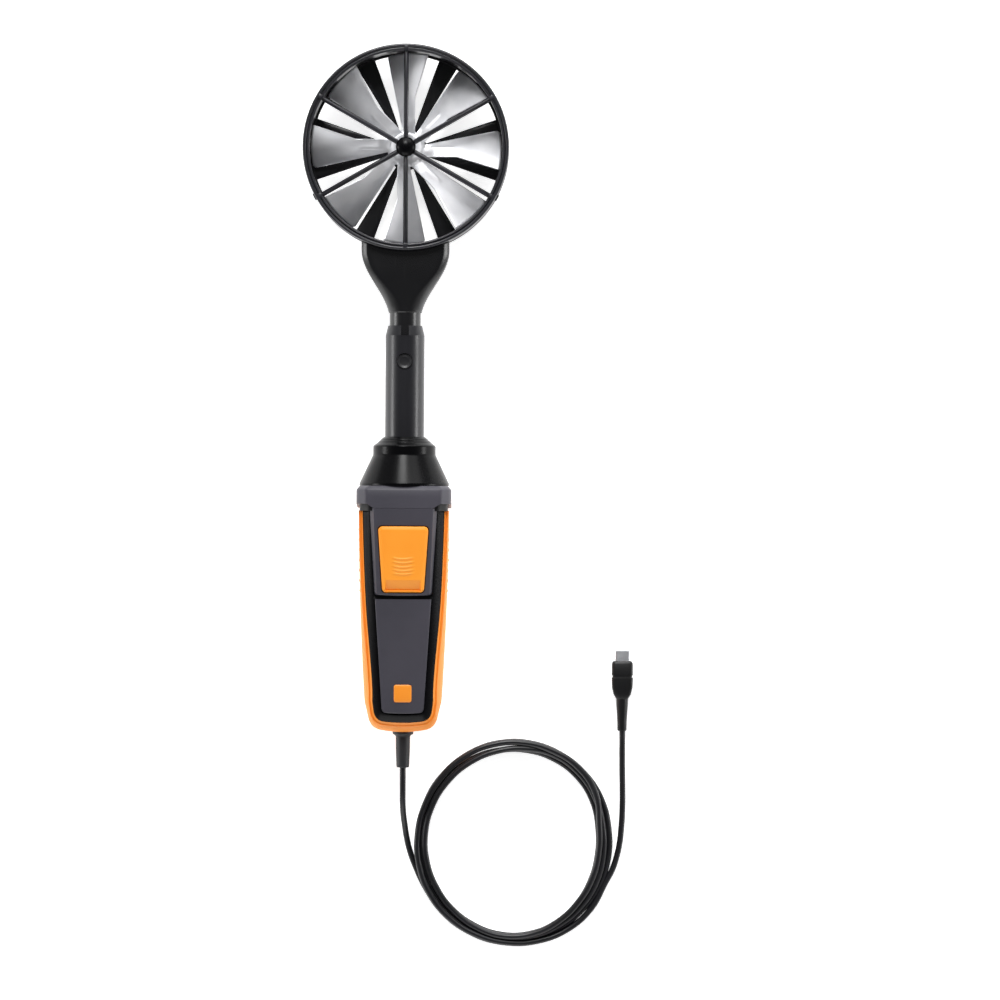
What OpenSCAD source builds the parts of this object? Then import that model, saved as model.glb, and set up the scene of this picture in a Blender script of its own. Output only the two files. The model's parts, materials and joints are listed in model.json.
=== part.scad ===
// Handheld vane anemometer probe: a vane head that plugs into an adapter on a grip with a
// measuring button, and a thin cable that ends in a small plug.
// It lies on its back: +Z is the air axis, +Y runs along the grip towards the head, and z = 0 is
// the flat back of the grip.

/* [Vane head] */
// Outer diameter of the shroud ring
ring_d = 105; // [80:0.5:130]
// Depth of the shroud ring along the air axis
ring_depth = 29; // [27:0.5:40]
// Wall of the shroud ring
ring_wall = 3.1; // [2.5:0.1:4]
// Gap between the blade tips and the shroud's bore
tip_gap = 1.6; // [0.8:0.1:3]
// Thickness of the impeller's sheet
blade_t = 0.5; // [0.4:0.1:1]
// Angle of the blades to the ring's plane
blade_pitch = 38; // [30:1:42]
// Number of blades
blades = 8; // [5:1:10]
// Width of one blade as an angle
blade_span = 25; // [15:1:30]
// Diameter of the impeller's centre disc
disc_d = 19; // [16:0.5:24]
// Diameter of the axle
axle_d = 2; // [1.5:0.1:3]
// Number of spokes of the front guard
spokes = 6; // [3:1:8]
// Width of a spoke
spoke_w = 2; // [1.5:0.1:3]
// Depth of a spoke along the air axis
spoke_depth = 4.4; // [3:0.1:5]
// Diameter of the guard's centre
hub_d = 10; // [9:0.5:14]
// Number of arms of the rear guard
arms = 14; // [8:1:16]
// Width of one arm as an angle
arm_span = 12; // [6:0.5:14]
// Thickness of the rear guard
arm_t = 2.5; // [2:0.1:3]

/* [Neck] */
// Distance from the ring's centre to the mouth of the adapter tube
head_reach = 90.6; // [80:0.1:120]
// Width of the neck where it meets the ring
neck_w = 44.4; // [36:0.1:50]
// Depth of the neck along the air axis
neck_depth = 19; // [17:0.1:20]
// Wall of the neck's shells
neck_wall = 2.2; // [1.8:0.1:2.6]
// Diameter of the stem
stem_d = 15.8; // [14:0.1:18]
// Wall of the stem
stem_wall = 1.7; // [1.4:0.1:2]
// Length of the stem inside the adapter tube
stem_in = 35.4; // [32:0.1:38]

/* [Adapter] */
// Length of the tube that shows
tube_len = 56.6; // [52:0.1:80]
// Wall of the tube
tube_wall = 1.95; // [1.6:0.05:2.4]
// Diameter of the latch button
latch_d = 8.1; // [6:0.1:8.6]
// Distance from the tube's mouth to the latch button
latch_at = 18.3; // [15:0.1:20]
// Travel of the latch button
latch_travel = 2.2; // [1.5:0.1:2.4]
// Length of the cone
cone_len = 25; // [20:0.1:35]
// Diameter of the cone's narrow band
band_d = 32; // [28:0.1:36]
// Diameter of the cone's wide end
cone_d = 45.8; // [44:0.1:46]
// Wall of the cone
cone_wall = 3; // [2:0.1:4]

/* [Grip] */
// Width of the collar
collar_w = 48.2; // [46:0.1:56]
// Depth of the collar
collar_depth = 46; // [46:0.1:56]
// Length of the collar
collar_len = 11.3; // [9:0.1:14]
// Length of the grip below the collar
grip_len = 114.3; // [105:0.1:140]
// Width of the grip below the collar
grip_w = 45.9; // [44:0.1:56]
// How much narrower the grip is at its foot
grip_taper = 8.5; // [6:0.1:9]
// Depth of the grip below the collar
grip_depth = 44; // [42:0.1:54]
// How much lower the front of the grip is at its foot
grip_fall = 13; // [8:0.1:14]
// Thickness of the soft cover at the collar
cover_t = 2.2; // [1.8:0.1:2.6]
// Wall of the two shells
shell_wall = 2.4; // [2:0.1:2.8]
// Width of the front panel below the collar
panel_w = 31.6; // [28:0.1:33]
// Thickness of the front panel
panel_t = 2; // [1.5:0.1:2.5]
// Side of the square badge
badge_w = 9; // [6:0.5:10]

/* [Measuring button] */
// Width of the button at its upper end
button_w = 25.7; // [22:0.1:27]
// Length of the button
button_len = 33.7; // [28:0.1:36]
// Distance from the collar to the button
button_at = 9.3; // [8:0.1:14]
// Travel of the button
button_travel = 1.2; // [0.6:0.1:1.4]
// Gap all round the button
button_gap = 0.35; // [0.3:0.05:0.6]

/* [Cable and plug] */
// Diameter of the cable
cable_d = 3.1; // [2.5:0.1:3.4]
// Length of the strain relief
relief_len = 18.3; // [14:0.1:24]
// Mean diameter of the cable's coil
coil_d = 96.4; // [80:0.1:100]
// Width of the plug's body
plug_w = 10.6; // [9:0.1:14]
// Thickness of the plug's body
plug_t = 7.4; // [6.4:0.1:9]

/* [Hidden] */
$fn = 96;
e = 0.01;               // overlap of pieces that are one solid
running = 0.05;         // radial clearance of the axle
slip = 0.1;             // radial clearance of parts that plug together or slide
seat = 0.15;            // gap round a part that drops into a recess
axis_z = collar_depth / 2;

// places along the instrument, from the ring's top to the strain relief's end
overall = ring_d / 2 + head_reach + tube_len + cone_len + collar_len + grip_len + relief_len;
ring_y = overall / 2 - ring_d / 2;
tube_y = ring_y - head_reach;
cone_y = tube_y - tube_len;
collar_y = cone_y - cone_len;
grip_y = collar_y - collar_len;
foot_y = grip_y - grip_len;
relief_y = foot_y - relief_len;

// shroud and guards, in the ring's own frame
half = ring_depth / 2;
ring_r = ring_d / 2;
duct_r = ring_r - ring_wall;
rim_t = 1.2;            // the front guard's rim
rim_depth = 5;
rim_drop = 0.7;
bead_r = 1.2;           // the rounded edges of the shroud
spoke_z = half - rim_drop - spoke_depth;
arm_z = 0.6 - half;
rear_hub_r = disc_d / 2 + 1;
boss_r = 4.5;
root_in = 0.8;          // a spoke's root is this far inside the boss and below its top
arm_root = 1.5;         // an arm's root inside the hub
arm_sink = 0.1;         // an arm's faces below the rim's
lug_r = 1.9;            // the two lugs that a funnel clips to
lug_out = 0.7;
lug_angle = 28;

// impeller
mid_z = (spoke_z + arm_z + arm_t) / 2;
tip_r = duct_r - tip_gap;
disc_r = disc_d / 2;
back_edge = blade_span * 0.48;
front_edge = blade_span - back_edge;
kink_r = 0.54 * tip_r;
kink_w = 4.3;
hub_r = 3.6;
hub_half = 6.3;
bush_r = 2.3;
end_play = 0.3;
front_bush = mid_z + hub_half + 0.6;
rear_bush = mid_z - hub_half - 0.6;
bush_len = 3.4;

// speed pickup and neck
pickup_r = 3;
pickup_len = 13;
pickup_at = tip_r + 0.9;
neck_end = head_reach - 6.6;
neck_start = sqrt(ring_r * ring_r - neck_w * neck_w / 4) - 4;
blend_from = ring_r - 0.5;
blend_to = neck_end + 4;
spigot_r = 5.5;
spigot_len = 9;
cavity_from = ring_r + 2.5;
cavity_to = neck_end - spigot_len - 2;
neck_screw_x = 9.5;
neck_boss_r = 2.9;
head_board_w = 2 * (neck_screw_x - neck_boss_r - 0.1);
head_board_gap = 1.5;
head_board_z = -4.4;
neck_screw_at = ring_r + 7;
screw_r = 1;
head_r = 1.9;
head_t = 1.4;

// stem, latch and contacts
stem_r = stem_d / 2;
bore_r = stem_r - stem_wall;
tube_in = stem_r + slip;
tube_r = tube_in + tube_wall;
tube_tail = 12;
key_w = 3.8;
key_len = 5;
latch_r = latch_d / 2;
latch_y = tube_y - latch_at;
latch_top = axis_z + tube_r - 0.9;
flange_r = latch_r + 0.75;
flange_t = 1;
flange_z = axis_z + sqrt(bore_r * bore_r - flange_r * flange_r) - 0.25 - flange_t;
socket_len = 8;
pins = 6;
pin_r = 0.5;
pin_ring = 3.4;
pin_len = 6;
block_gap = 2;
block_len = 11;

// grip
slope = atan(grip_fall / grip_len);
cover_foot = 2.5;       // the soft cover gets this much thicker towards the foot
core_end = grip_len - cover_t - cover_foot;
end_wall_t = 2;
split_z = axis_z - 0.5;
front_r = 15;
back_r = 12;
spigot_up = 6;          // the shells' spigot inside the collar
end_slices = [[16, 0, 0], [11, 1.1, 0], [7, 2.2, 0.3], [3.3, 3.6, 1], [1, 5, 2], [0, 6.4, 3.2]];
cover_front = 9;        // the cover's edge is this far behind the front face
panel_len = grip_len - 9.3;
panel_taper = 11;
panel_foot_w = panel_w - panel_taper;
step_at = 44.2;         // the step between the panel's two levels
step_h = 0.7;
button_taper = 4.6;
button_r = 2.5;
button_rise = 1.6;
button_y = grip_y - button_at - button_len / 2;
badge_at = 94.3;
badge_t = 0.9;

// board and its parts
board_w = 25;
board_len = 60;
board_t = 1.6;
board_z = axis_z - 3.6;
board_y = grip_y - 19;
switch_w = 6;
switch_h = 3.5;
post_gap = button_travel + 0.25;
spring_wire = 0.7;
spring_r = 5.3;
screw_rows = [4.6, 84];  // distances of the two rows of housing screws below the collar
pillar_r = 3;
seat_z = 4.4;           // the housing screws' heads rest here
thread_in = 6;          // how far they go into the front shell

// strain relief, cable and plug
relief_z = 15.5;
relief_flange_r = 5.35;
relief_flange_t = 1.5;
relief_neck_r = 3.2;
relief_in = cover_t + cover_foot + shell_wall + 2.8;
cable_r = cable_d / 2;
ring_sides = 8;
coil_x = 56.7;
coil_y = -222.3;
coil_w = 7.4;
coil_h = 8.2;
lead = [[0, -184.3, 15.5], [0, -190, 15.5], [0, -196, 14.7], [0, -202, 12.6], [0.3, -208, 9.4],
    [1, -214, 6], [2, -220.5, 3.3], [3.8, -228, 1.9], [6.8, -236, 1.6]];
tail = [[104.4, -243, 1.6], [107.7, -236.8, 1.6], [109.9, -230, 1.6], [111.3, -223.5, 1.6],
    [112.2, -215, 1.6], [112.7, -205, 1.6], [112.7, -195, 1.6], [112.5, -185, 1.9],
    [112.2, -177, 2.6], [112, -171, 3.2], [112, -166.2, 3.2]];
plug_x = 112;
plug_z = plug_t / 2;
plug_base = -166.2;     // where the boot starts
boot_len = 16.3;
taper_len = 11;
notch_len = 1.2;
head_len = 7.4;
tip_w = 6.8;
tip_t = 3.4;
tip_len = 5.3;

// ---- helpers ----

// a rounded rectangle about the origin, with true arcs
module rrect(w, h, r) {
    square([w - 2 * r, h], center = true);
    square([w, h - 2 * r], center = true);
    for (x = [-1, 1], y = [-1, 1]) translate([x * (w / 2 - r), y * (h / 2 - r)]) circle(r);
}

// in the ring's own frame: its centre at the origin, the air axis along Z
module at_ring() translate([0, ring_y, axis_z]) children();

// turned about the instrument's long axis; points are [radius, distance below y]
module lathe(y, z, points) translate([0, y, z]) rotate([90, 0, 0])
    rotate_extrude() polygon(points);

// a rod along the long axis, from y downwards
module rod(x, y, z, r, len) translate([x, y, z]) rotate([90, 0, 0]) cylinder(r = r, h = len);

// a plate across the long axis, from y downwards, cut to the 2D outline given
module across(y, z, len) translate([0, y, z]) rotate([90, 0, 0])
    linear_extrude(len) children();

// a countersunk or cheese-head screw whose head is down, at the origin, with its shank up
module screw(r, head, t, len) {
    cylinder(r = head, h = t, $fn = 32);
    translate([0, 0, t - e]) cylinder(r = r, h = len + e, $fn = 32);
}

function unit(v) = v / norm(v);

// direction of the path at point i
function along(p, i) = unit(p[min(i + 1, len(p) - 1)] - p[max(i - 1, 0)]);

// one ring of a tube round point i, square to the path
function tube_ring(p, i, r, n) = let (t = along(p, i), a = unit(cross(t, [0, 0, 1])),
    b = cross(t, a)) [for (k = [0:n - 1]) p[i] + r * (cos(k * 360 / n) * a + sin(k * 360 / n) * b)];

// a tube with closed ends that follows a path
module sweep(p, r, n) {
    m = len(p);
    points = [for (i = [0:m - 1]) each tube_ring(p, i, r, n)];
    sides = [for (i = [0:m - 2], k = [0:n - 1]) let (a = i * n + k, b = i * n + (k + 1) % n)
        each [[a, b, b + n], [a, b + n, a + n]]];
    polyhedron(points, [[for (k = [n - 1:-1:0]) k], each sides,
        [for (k = [0:n - 1]) (m - 1) * n + k]]);
}

// a compression spring standing on the origin, with closed ends
module spring(r, wire, height, turns) {
    steps = 12;
    p = [for (i = [0:turns * steps]) let (a = i * 360 / steps, u = i / (turns * steps))
        [r * cos(a), r * sin(a), wire / 2 + (height - wire) * u]];
    sweep(p, wire / 2, 6);
}

// ---- vane head ----

module shroud_ring() color("#2b2b30") at_ring() difference() {
    union() {
        rotate_extrude() polygon(concat(
            [for (a = [0:15:90]) [ring_r - bead_r + bead_r * cos(a), half - bead_r + bead_r * sin(a)]],
            [[duct_r + rim_t, half], [duct_r + rim_t, half - rim_drop - rim_depth],
                [duct_r, half - rim_drop - rim_depth], [duct_r, -half]],
            [for (a = [-90:15:0]) [ring_r - bead_r + bead_r * cos(a), bead_r - half + bead_r * sin(a)]]));
        for (s = [0, 1]) mirror([s, 0, 0]) rotate([0, 0, -lug_angle])
            translate([ring_r - bead_r, 0, 2]) rotate([0, 90, 0]) cylinder(r = lug_r, h = bead_r + lug_out);
    }
    translate([0, 1 - duct_r, 0]) rotate([90, 0, 0]) cylinder(r = pickup_r, h = ring_wall + 4);
}

module front_guard() color("#2b2b30") at_ring() {
    difference() {
        union() {
            translate([0, 0, half - rim_drop - rim_depth]) difference() {
                cylinder(r = duct_r + rim_t, h = rim_depth);
                translate([0, 0, -1]) cylinder(r = duct_r, h = rim_depth + 2);
            }
            for (i = [0:spokes - 1]) rotate([0, 0, 90 + i * 360 / spokes])
                translate([boss_r - root_in, -spoke_w / 2, spoke_z])
                    cube([duct_r + rim_t / 2 - boss_r + root_in, spoke_w, spoke_depth - root_in]);
            translate([0, 0, front_bush]) cylinder(r = boss_r, h = half - rim_drop - front_bush - 0.6);
        }
        translate([0, 0, front_bush - 1]) cylinder(r = bush_r, h = bush_len + 1);
        translate([0, 0, half - rim_drop - 3]) cylinder(r = hub_d / 2 - 2, h = 4);
    }
}

module guard_cap() color("#0e0e10") at_ring() {
    translate([0, 0, half - rim_drop - 3]) cylinder(r = hub_d / 2 - 2, h = 2.5);
    translate([0, 0, half - rim_drop - 0.6]) rotate_extrude() polygon(concat([[0, 0]],
        [for (a = [0:10:90]) [hub_d / 2 * cos(a), (hub_d / 2 - 1.6) * sin(a)]]));
}

module bush(z) at_ring() translate([0, 0, z]) difference() {
    cylinder(r = bush_r, h = bush_len);
    translate([0, 0, -1]) cylinder(r = axle_d / 2 + running, h = bush_len + 2);
}

module front_bearing() color("#b08d3c") bush(front_bush);

module rear_bearing() color("#b08d3c") bush(rear_bush - bush_len);

module axle() color("#b9bcc0") at_ring() translate([0, 0, rear_bush - bush_len + end_play])
    cylinder(r = axle_d / 2, h = front_bush - rear_bush + 2 * bush_len - 2 * end_play);

module impeller_hub() color("#c9cbce") at_ring() translate([0, 0, mid_z - hub_half]) difference() {
    cylinder(r = hub_r, h = 2 * hub_half);
    translate([0, 0, -1]) cylinder(r = axle_d / 2, h = 2 * hub_half + 2);
}

// one blade's outline in plan, its root towards the axle
module blade_plan() intersection() {
    circle(tip_r);
    polygon([[disc_r - 1.5, -kink_w], [kink_r, -kink_w],
        [1.1 * tip_r * cos(front_edge), -1.1 * tip_r * sin(front_edge)],
        [1.1 * tip_r * cos(back_edge), 1.1 * tip_r * sin(back_edge)],
        [disc_r - 1.5, (disc_r - 1.5) * tan(back_edge)]]);
}

module impeller_blades() color("#d3d5d8") at_ring() translate([0, 0, mid_z]) difference() {
    union() {
        for (i = [0:blades - 1]) rotate([0, 0, i * 360 / blades]) intersection() {
            translate([0, 0, -ring_depth]) linear_extrude(2 * ring_depth) blade_plan();
            rotate([-blade_pitch, 0, 0]) translate([0, -ring_depth, -blade_t / 2])
                cube([ring_d, 2 * ring_depth, blade_t]);
        }
        translate([0, 0, -blade_t / 2]) cylinder(r = disc_r, h = blade_t);
    }
    cylinder(r = hub_r, h = 4 * hub_half, center = true);
}

module rear_guard() color("#1b1b1e") at_ring() difference() {
    union() {
        translate([0, 0, arm_z]) difference() {
            cylinder(r = duct_r, h = arm_t);
            translate([0, 0, -1]) cylinder(r = duct_r - rim_t, h = arm_t + 2);
        }
        for (i = [0:arms - 1]) rotate([0, 0, 90 + i * 360 / arms]) translate([0, 0, arm_z + arm_sink])
            linear_extrude(arm_t - 2 * arm_sink) polygon([
                for (r = [rear_hub_r - arm_root, duct_r - rim_t / 2])
                    for (a = (r < duct_r / 2) ? [0.5, -0.5] : [-0.5, 0.5])
                        r * [cos(a * arm_span), sin(a * arm_span)]]);
        translate([0, 0, arm_z]) cylinder(r = rear_hub_r, h = arm_t);
        translate([0, 0, arm_z + arm_t - e]) cylinder(r = boss_r, h = rear_bush - arm_z - arm_t + e);
    }
    translate([0, 0, rear_bush - bush_len]) cylinder(r = bush_r, h = bush_len + 1);
}

module speed_pickup() color("#54565b") at_ring() translate([0, -pickup_at, 0]) rotate([90, 0, 0]) {
    cylinder(r = pickup_r, h = pickup_len);
    translate([0, 0, pickup_len - e]) cylinder(r = 1.6, h = 1.5);
}

// ---- neck ----

// half the neck's width at a distance below the ring's centre
function neck_half(d) = let (u = min(1, max(0, (d - blend_from) / (blend_to - blend_from))))
    stem_r + 0.1 + (neck_w / 2 - stem_r) * (1 + cos(180 * u)) / 2;

function neck_outline(from, to, inset) = let (n = 14, d = [for (i = [0:n]) from + (to - from) * i / n])
    concat([for (x = d) [neck_half(x) - inset, -x]],
        [for (i = [n:-1:0]) [inset - neck_half(d[i]), -d[i]]]);

module neck_half_shell() difference() {
    union() {
        difference() {
            intersection() {
                linear_extrude(neck_depth / 2) polygon(neck_outline(neck_start, neck_end, 0));
                translate([-neck_w, 0, 0]) rotate([90, 0, 90]) linear_extrude(2 * neck_w)
                    polygon([[-neck_start, 0], [-neck_start, neck_depth / 2],
                        [-ring_r - 14, neck_depth / 2], [-neck_end, stem_r + 0.1], [-neck_end, 0]]);
            }
            translate([0, 0, -1]) linear_extrude(neck_depth / 2 - neck_wall + 1)
                polygon(neck_outline(cavity_from, cavity_to, neck_wall));
        }
        for (x = [-1, 1]) translate([x * neck_screw_x, -neck_screw_at, 0])
            cylinder(r = neck_boss_r, h = neck_depth / 2 - neck_wall / 2);
    }
    cylinder(r = ring_r, h = ring_depth, center = true);
    translate([0, 1 - ring_r, 0]) rotate([90, 0, 0]) cylinder(r = pickup_r, h = cavity_from - ring_r + 2);
    translate([0, 1 - cavity_to, 0]) rotate([90, 0, 0]) cylinder(r = spigot_r, h = neck_end);
}

module neck_front() color("#303036") at_ring() difference() {
    neck_half_shell();
    for (x = [-1, 1]) translate([x * neck_screw_x, -neck_screw_at, -1])
        cylinder(r = screw_r, h = neck_depth / 2 - neck_wall);
}

module neck_rear() color("#303036") at_ring() mirror([0, 0, 1]) difference() {
    neck_half_shell();
    for (x = [-1, 1]) translate([x * neck_screw_x, -neck_screw_at, -1]) {
        cylinder(r = screw_r + slip, h = neck_depth);
        translate([0, 0, neck_depth / 2 - head_t]) cylinder(r = head_r + slip, h = 4);
    }
}

module neck_screws() color("#8f9296") at_ring() for (x = [-1, 1])
    translate([x * neck_screw_x, -neck_screw_at, -neck_depth / 2 + 1 - head_t + e])
        screw(screw_r, head_r, head_t, neck_depth - neck_wall - 2.5);

module head_board() color("#1f6b3a") at_ring()
    translate([-head_board_w / 2, head_board_gap - cavity_to, head_board_z])
        cube([head_board_w, (cavity_to - cavity_from) / 2, 1.2]);

module stem() color("#2b2b30") difference() {
    union() {
        lathe(tube_y + head_reach - neck_end, axis_z, [[bore_r, 2.5], [bore_r, stem_in + 6.6],
            [stem_r - 0.6, stem_in + 6.6], [stem_r, stem_in + 6], [stem_r, 0], [spigot_r, 0],
            [spigot_r, -spigot_len], [spigot_r - 2, -spigot_len], [spigot_r - 2, 2.5]]);
        translate([-key_w / 2, tube_y - key_len, axis_z + stem_r - 0.6])
            cube([key_w, key_len, tube_wall]);
    }
    translate([0, latch_y, axis_z]) cylinder(r = latch_r + slip, h = 2 * stem_r);
}

module head_socket() color("#18181a") difference() {
    rod(0, tube_y - stem_in + socket_len, axis_z, bore_r, socket_len);
    for (i = [0:pins - 1]) rotate_about_axis(i * 360 / pins)
        rod(pin_ring, tube_y - stem_in + pin_len + 0.5, axis_z, pin_r + slip, pin_len + 2);
}

// turns a piece about the instrument's long axis
module rotate_about_axis(a) translate([0, 0, axis_z]) rotate([0, a, 0]) translate([0, 0, -axis_z])
    children();

// ---- adapter ----

module latch_button() color("#3a3a40") translate([0, latch_y, 0]) {
    translate([0, 0, flange_z + flange_t - e]) cylinder(r = latch_r, h = latch_top - flange_z - flange_t + e);
    translate([0, 0, flange_z]) cylinder(r = flange_r, h = flange_t);
}

module latch_spring() color("#b9bcc0") translate([0, latch_y, axis_z - bore_r + 0.4])
    spring(2.4, 0.5, flange_z - axis_z + bore_r - 0.4, 6);

module adapter_tube() color("#2b2b30") difference() {
    lathe(tube_y, axis_z, [[tube_in, 0], [tube_in + 0.7, 0], [tube_r, key_len],
        [tube_r, tube_len + tube_tail], [tube_in, tube_len + tube_tail]]);
    translate([-key_w / 2 - slip, tube_y - key_len - slip, axis_z])
        cube([key_w + 2 * slip, key_len + 1, 2 * tube_r]);
    translate([0, latch_y, axis_z]) cylinder(r = latch_r + slip, h = 2 * tube_r);
}

module tube_seal() color("#101012") lathe(cone_y - 2, axis_z, [[tube_r, 0], [tube_r + 1.2, 0],
    [tube_r + 1.2, 1.6], [tube_r, 1.6]]);

module contact_block() color("#18181a") difference() {
    rod(0, tube_y - stem_in - block_gap, axis_z, tube_in, block_len);
    for (i = [0:pins - 1]) rotate_about_axis(i * 360 / pins)
        rod(pin_ring, tube_y - stem_in - block_gap + 1, axis_z, pin_r, block_len + 2);
}

module contact_pins() color("#c9a227") for (i = [0:pins - 1]) rotate_about_axis(i * 360 / pins)
    rod(pin_ring, tube_y - stem_in + pin_len, axis_z, pin_r, pin_len + block_gap + block_len + 2);

module adapter_cone() color("#0e0e10") difference() {
    lathe(cone_y, axis_z, [[0, 0], [tube_r + 0.3, 0], [band_d / 2 - 0.5, 4.1], [band_d / 2, 4.6],
        [band_d / 2, 9.2], [cone_d / 2 - 0.5, cone_len - 1.6], [cone_d / 2, cone_len - 0.8],
        [cone_d / 2, cone_len], [0, cone_len]]);
    lathe(cone_y, axis_z, [[0, -1], [tube_r, -1], [tube_r, tube_tail],
        [band_d / 2 - cone_wall, tube_tail], [cone_d / 2 - cone_wall, cone_len - 1],
        [cone_d / 2 - cone_wall, cone_len + 1], [0, cone_len + 1]]);
    rod(0, cone_y - 2, axis_z, tube_r + 1.2, 1.6);
}

module collar() color("#131315") difference() {
    union() {
        across(collar_y, axis_z, 1) rrect(collar_w - 1.2, collar_depth - 1.2, front_r);
        across(collar_y - 1 + e, axis_z, collar_len - 3 + e) rrect(collar_w, collar_depth, front_r);
        across(collar_y - collar_len + 2 + e, axis_z, 2 + e)
            rrect(collar_w - 2.2, collar_depth - 2.2, front_r - 1);
    }
    rod(0, collar_y + 1, axis_z, tube_in, collar_len + 2);
    across(collar_y - 3, axis_z, collar_len) rrect(collar_w - 9, collar_depth - 9, front_r - 4);
}

// ---- grip ----

function grip_half(d) = (grip_w - grip_taper * pow(max(0, d) / grip_len, 1.75)) / 2;
function face_z(d) = grip_depth - d * tan(slope);

// slices of the grip's body, the last six of them round off its foot; each is
// [distance below the collar, half width, front z, back z]. inset is what is taken off
// the sides, off the sides at the foot, off the front and off the back
function slices(len, inset) = concat(
    [for (d = [0, 0.3, 0.55, 0.75]) [d * len, grip_half(d * len) - inset[0] - inset[1] * d,
        face_z(d * len) - inset[2], inset[3]]],
    [for (s = end_slices) let (d = len - s[0] - e) [d, grip_half(d) - inset[0] - inset[1] - s[1] * 0.85,
        face_z(d) - inset[2] - s[2], inset[3] + s[2]]]);

// a smooth body through the slices
module body(list, rf, rb) hull() for (s = list, x = [-1, 1]) {
    f = min(rf, 0.6 * s[1]);
    b = min(rb, 0.6 * s[1]);
    translate([x * (s[1] - f), grip_y - s[0], s[2] - f]) rotate([90, 0, 0])
        cylinder(r = f, h = e, $fn = 32);
    translate([x * (s[1] - b), grip_y - s[0], s[3] + b]) rotate([90, 0, 0])
        cylinder(r = b, h = e, $fn = 32);
}

module outer_body() body(slices(grip_len, [0, 0, 0, 0]), front_r, back_r);

module core_body() body(slices(core_end, [cover_t, cover_foot, 0, cover_t]), front_r - 2, back_r - 2);

module hollow_body() body(slices(core_end - shell_wall,
    [cover_t + shell_wall, cover_foot, shell_wall, cover_t + shell_wall]), front_r - 4, back_r - 4);

// everything in front of a plane that runs parallel to the front face, this far behind it
module in_front_of(depth) translate([0, grip_y, grip_depth - depth]) rotate([slope, 0, 0])
    translate([-grip_w, -2 * grip_len, 0]) cube([2 * grip_w, 3 * grip_len, grip_depth]);

module spigot(z0, z1) intersection() {
    across(grip_y + spigot_up, axis_z, spigot_up + e) difference() {
        rrect(collar_w - 9 - 2 * seat, collar_depth - 9 - 2 * seat, front_r - 4 - seat);
        rrect(collar_w - 14, collar_depth - 14, front_r - 6);
    }
    translate([-grip_w, foot_y, z0]) cube([2 * grip_w, 2 * grip_len, z1 - z0]);
}

// the grip's end wall, which carries the spigot
module end_wall(z0, z1) intersection() {
    core_body();
    difference() {
        translate([-grip_w, grip_y - end_wall_t, z0]) cube([2 * grip_w, 2 * end_wall_t, z1 - z0]);
        across(grip_y + 1, axis_z, end_wall_t + 2) rrect(collar_w - 11.5, collar_depth - 11.5, front_r - 5);
    }
}

// distance of the housing screws from the middle, in the row at d
function screw_x(d) = grip_half(d) - cover_t - cover_foot * d / grip_len - 8.6;

module pillars(z0, z1, r) for (x = [-1, 1], d = screw_rows)
    translate([x * screw_x(d), grip_y - d, z0]) cylinder(r = r, h = z1 - z0, $fn = 32);

module rear_shell() color("#1b1b1e") difference() {
    union() {
        difference() {
            core_body();
            hollow_body();
            translate([-grip_w, foot_y - 1, split_z]) cube([2 * grip_w, 2 * grip_len, 2 * grip_depth]);
        }
        spigot(0, split_z);
        end_wall(0, split_z);
        intersection() {
            union() {
                pillars(cover_t, split_z, pillar_r);
                board_posts(cover_t, board_z);
            }
            core_body();
        }
    }
    pillars(-1, split_z + 1, 1.4);
    pillars(-1, seat_z, 2.7);
    board_posts(board_z - 5, board_z + 1, 0.9);
    rod(0, foot_y + relief_in, relief_z, relief_neck_r + slip, 2 * relief_in);
}

module board_posts(z0, z1, r = 2.4) for (x = [-1, 1], y = [8, board_len - 6])
    translate([x * (board_w / 2 - 3.2), board_y - y, z0]) cylinder(r = r, h = z1 - z0, $fn = 32);

module front_shell() color("#0e0e10") difference() {
    union() {
        difference() {
            core_body();
            difference() {
                hollow_body();
                translate([0, grip_y, 0]) in_panel(panel_len, 2, grip_depth / 2, shell_wall + panel_t);
            }
            translate([-grip_w, foot_y - 1, split_z - 2 * grip_depth])
                cube([2 * grip_w, 2 * grip_len, 2 * grip_depth]);
        }
        spigot(split_z, 2 * axis_z);
        end_wall(split_z, grip_depth + 1);
        intersection() {
            pillars(split_z, grip_depth, pillar_r);
            hollow_body();
        }
    }
    pillars(split_z - 1, split_z + thread_in + 0.5, 1);
    panel_recess();
    button_prism(button_gap, 0, 2 * grip_depth);
}

// a pad behind the front face that backs the panel
module in_panel(len, grow, z0, depth) intersection() {
    translate([0, 0, z0]) linear_extrude(grip_depth) panel_plan(len, grow);
    translate([0, -grip_y, 0]) in_front_of(depth);
}

// the panel's outline in plan, from the collar down
module panel_plan(len, grow) {
    w0 = panel_w / 2 + grow;
    w1 = panel_foot_w / 2 + grow;
    r = 5;
    polygon(concat([[w0, 0]],
        [for (a = [0:15:90]) [w1 - r + r * cos(a), r - len - grow - r * sin(a)]],
        [for (a = [90:-15:0]) [r - w1 - r * cos(a), r - len - grow - r * sin(a)]], [[-w0, 0]]));
}

module panel_recess() intersection() {
    translate([0, grip_y, 0]) linear_extrude(2 * grip_depth) union() {
        panel_plan(panel_len, seat);
        translate([-panel_w / 2 - seat, -e]) square([panel_w + 2 * seat, 3]);
    }
    in_front_of(panel_t);
}

module front_panel() color("#3b3b41") difference() {
    intersection() {
        translate([0, grip_y, 0]) linear_extrude(2 * grip_depth) panel_plan(panel_len, 0);
        in_front_of(panel_t);
        union() {
            behind(0.2, 0);
            intersection() {
                behind(0.2 + step_h, 0);
                translate([-grip_w, grip_y - step_at, 0]) cube([2 * grip_w, step_at, 2 * grip_depth]);
            }
        }
    }
    button_prism(button_gap, 0, 2 * grip_depth);
    badge_block(seat);
}

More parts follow.
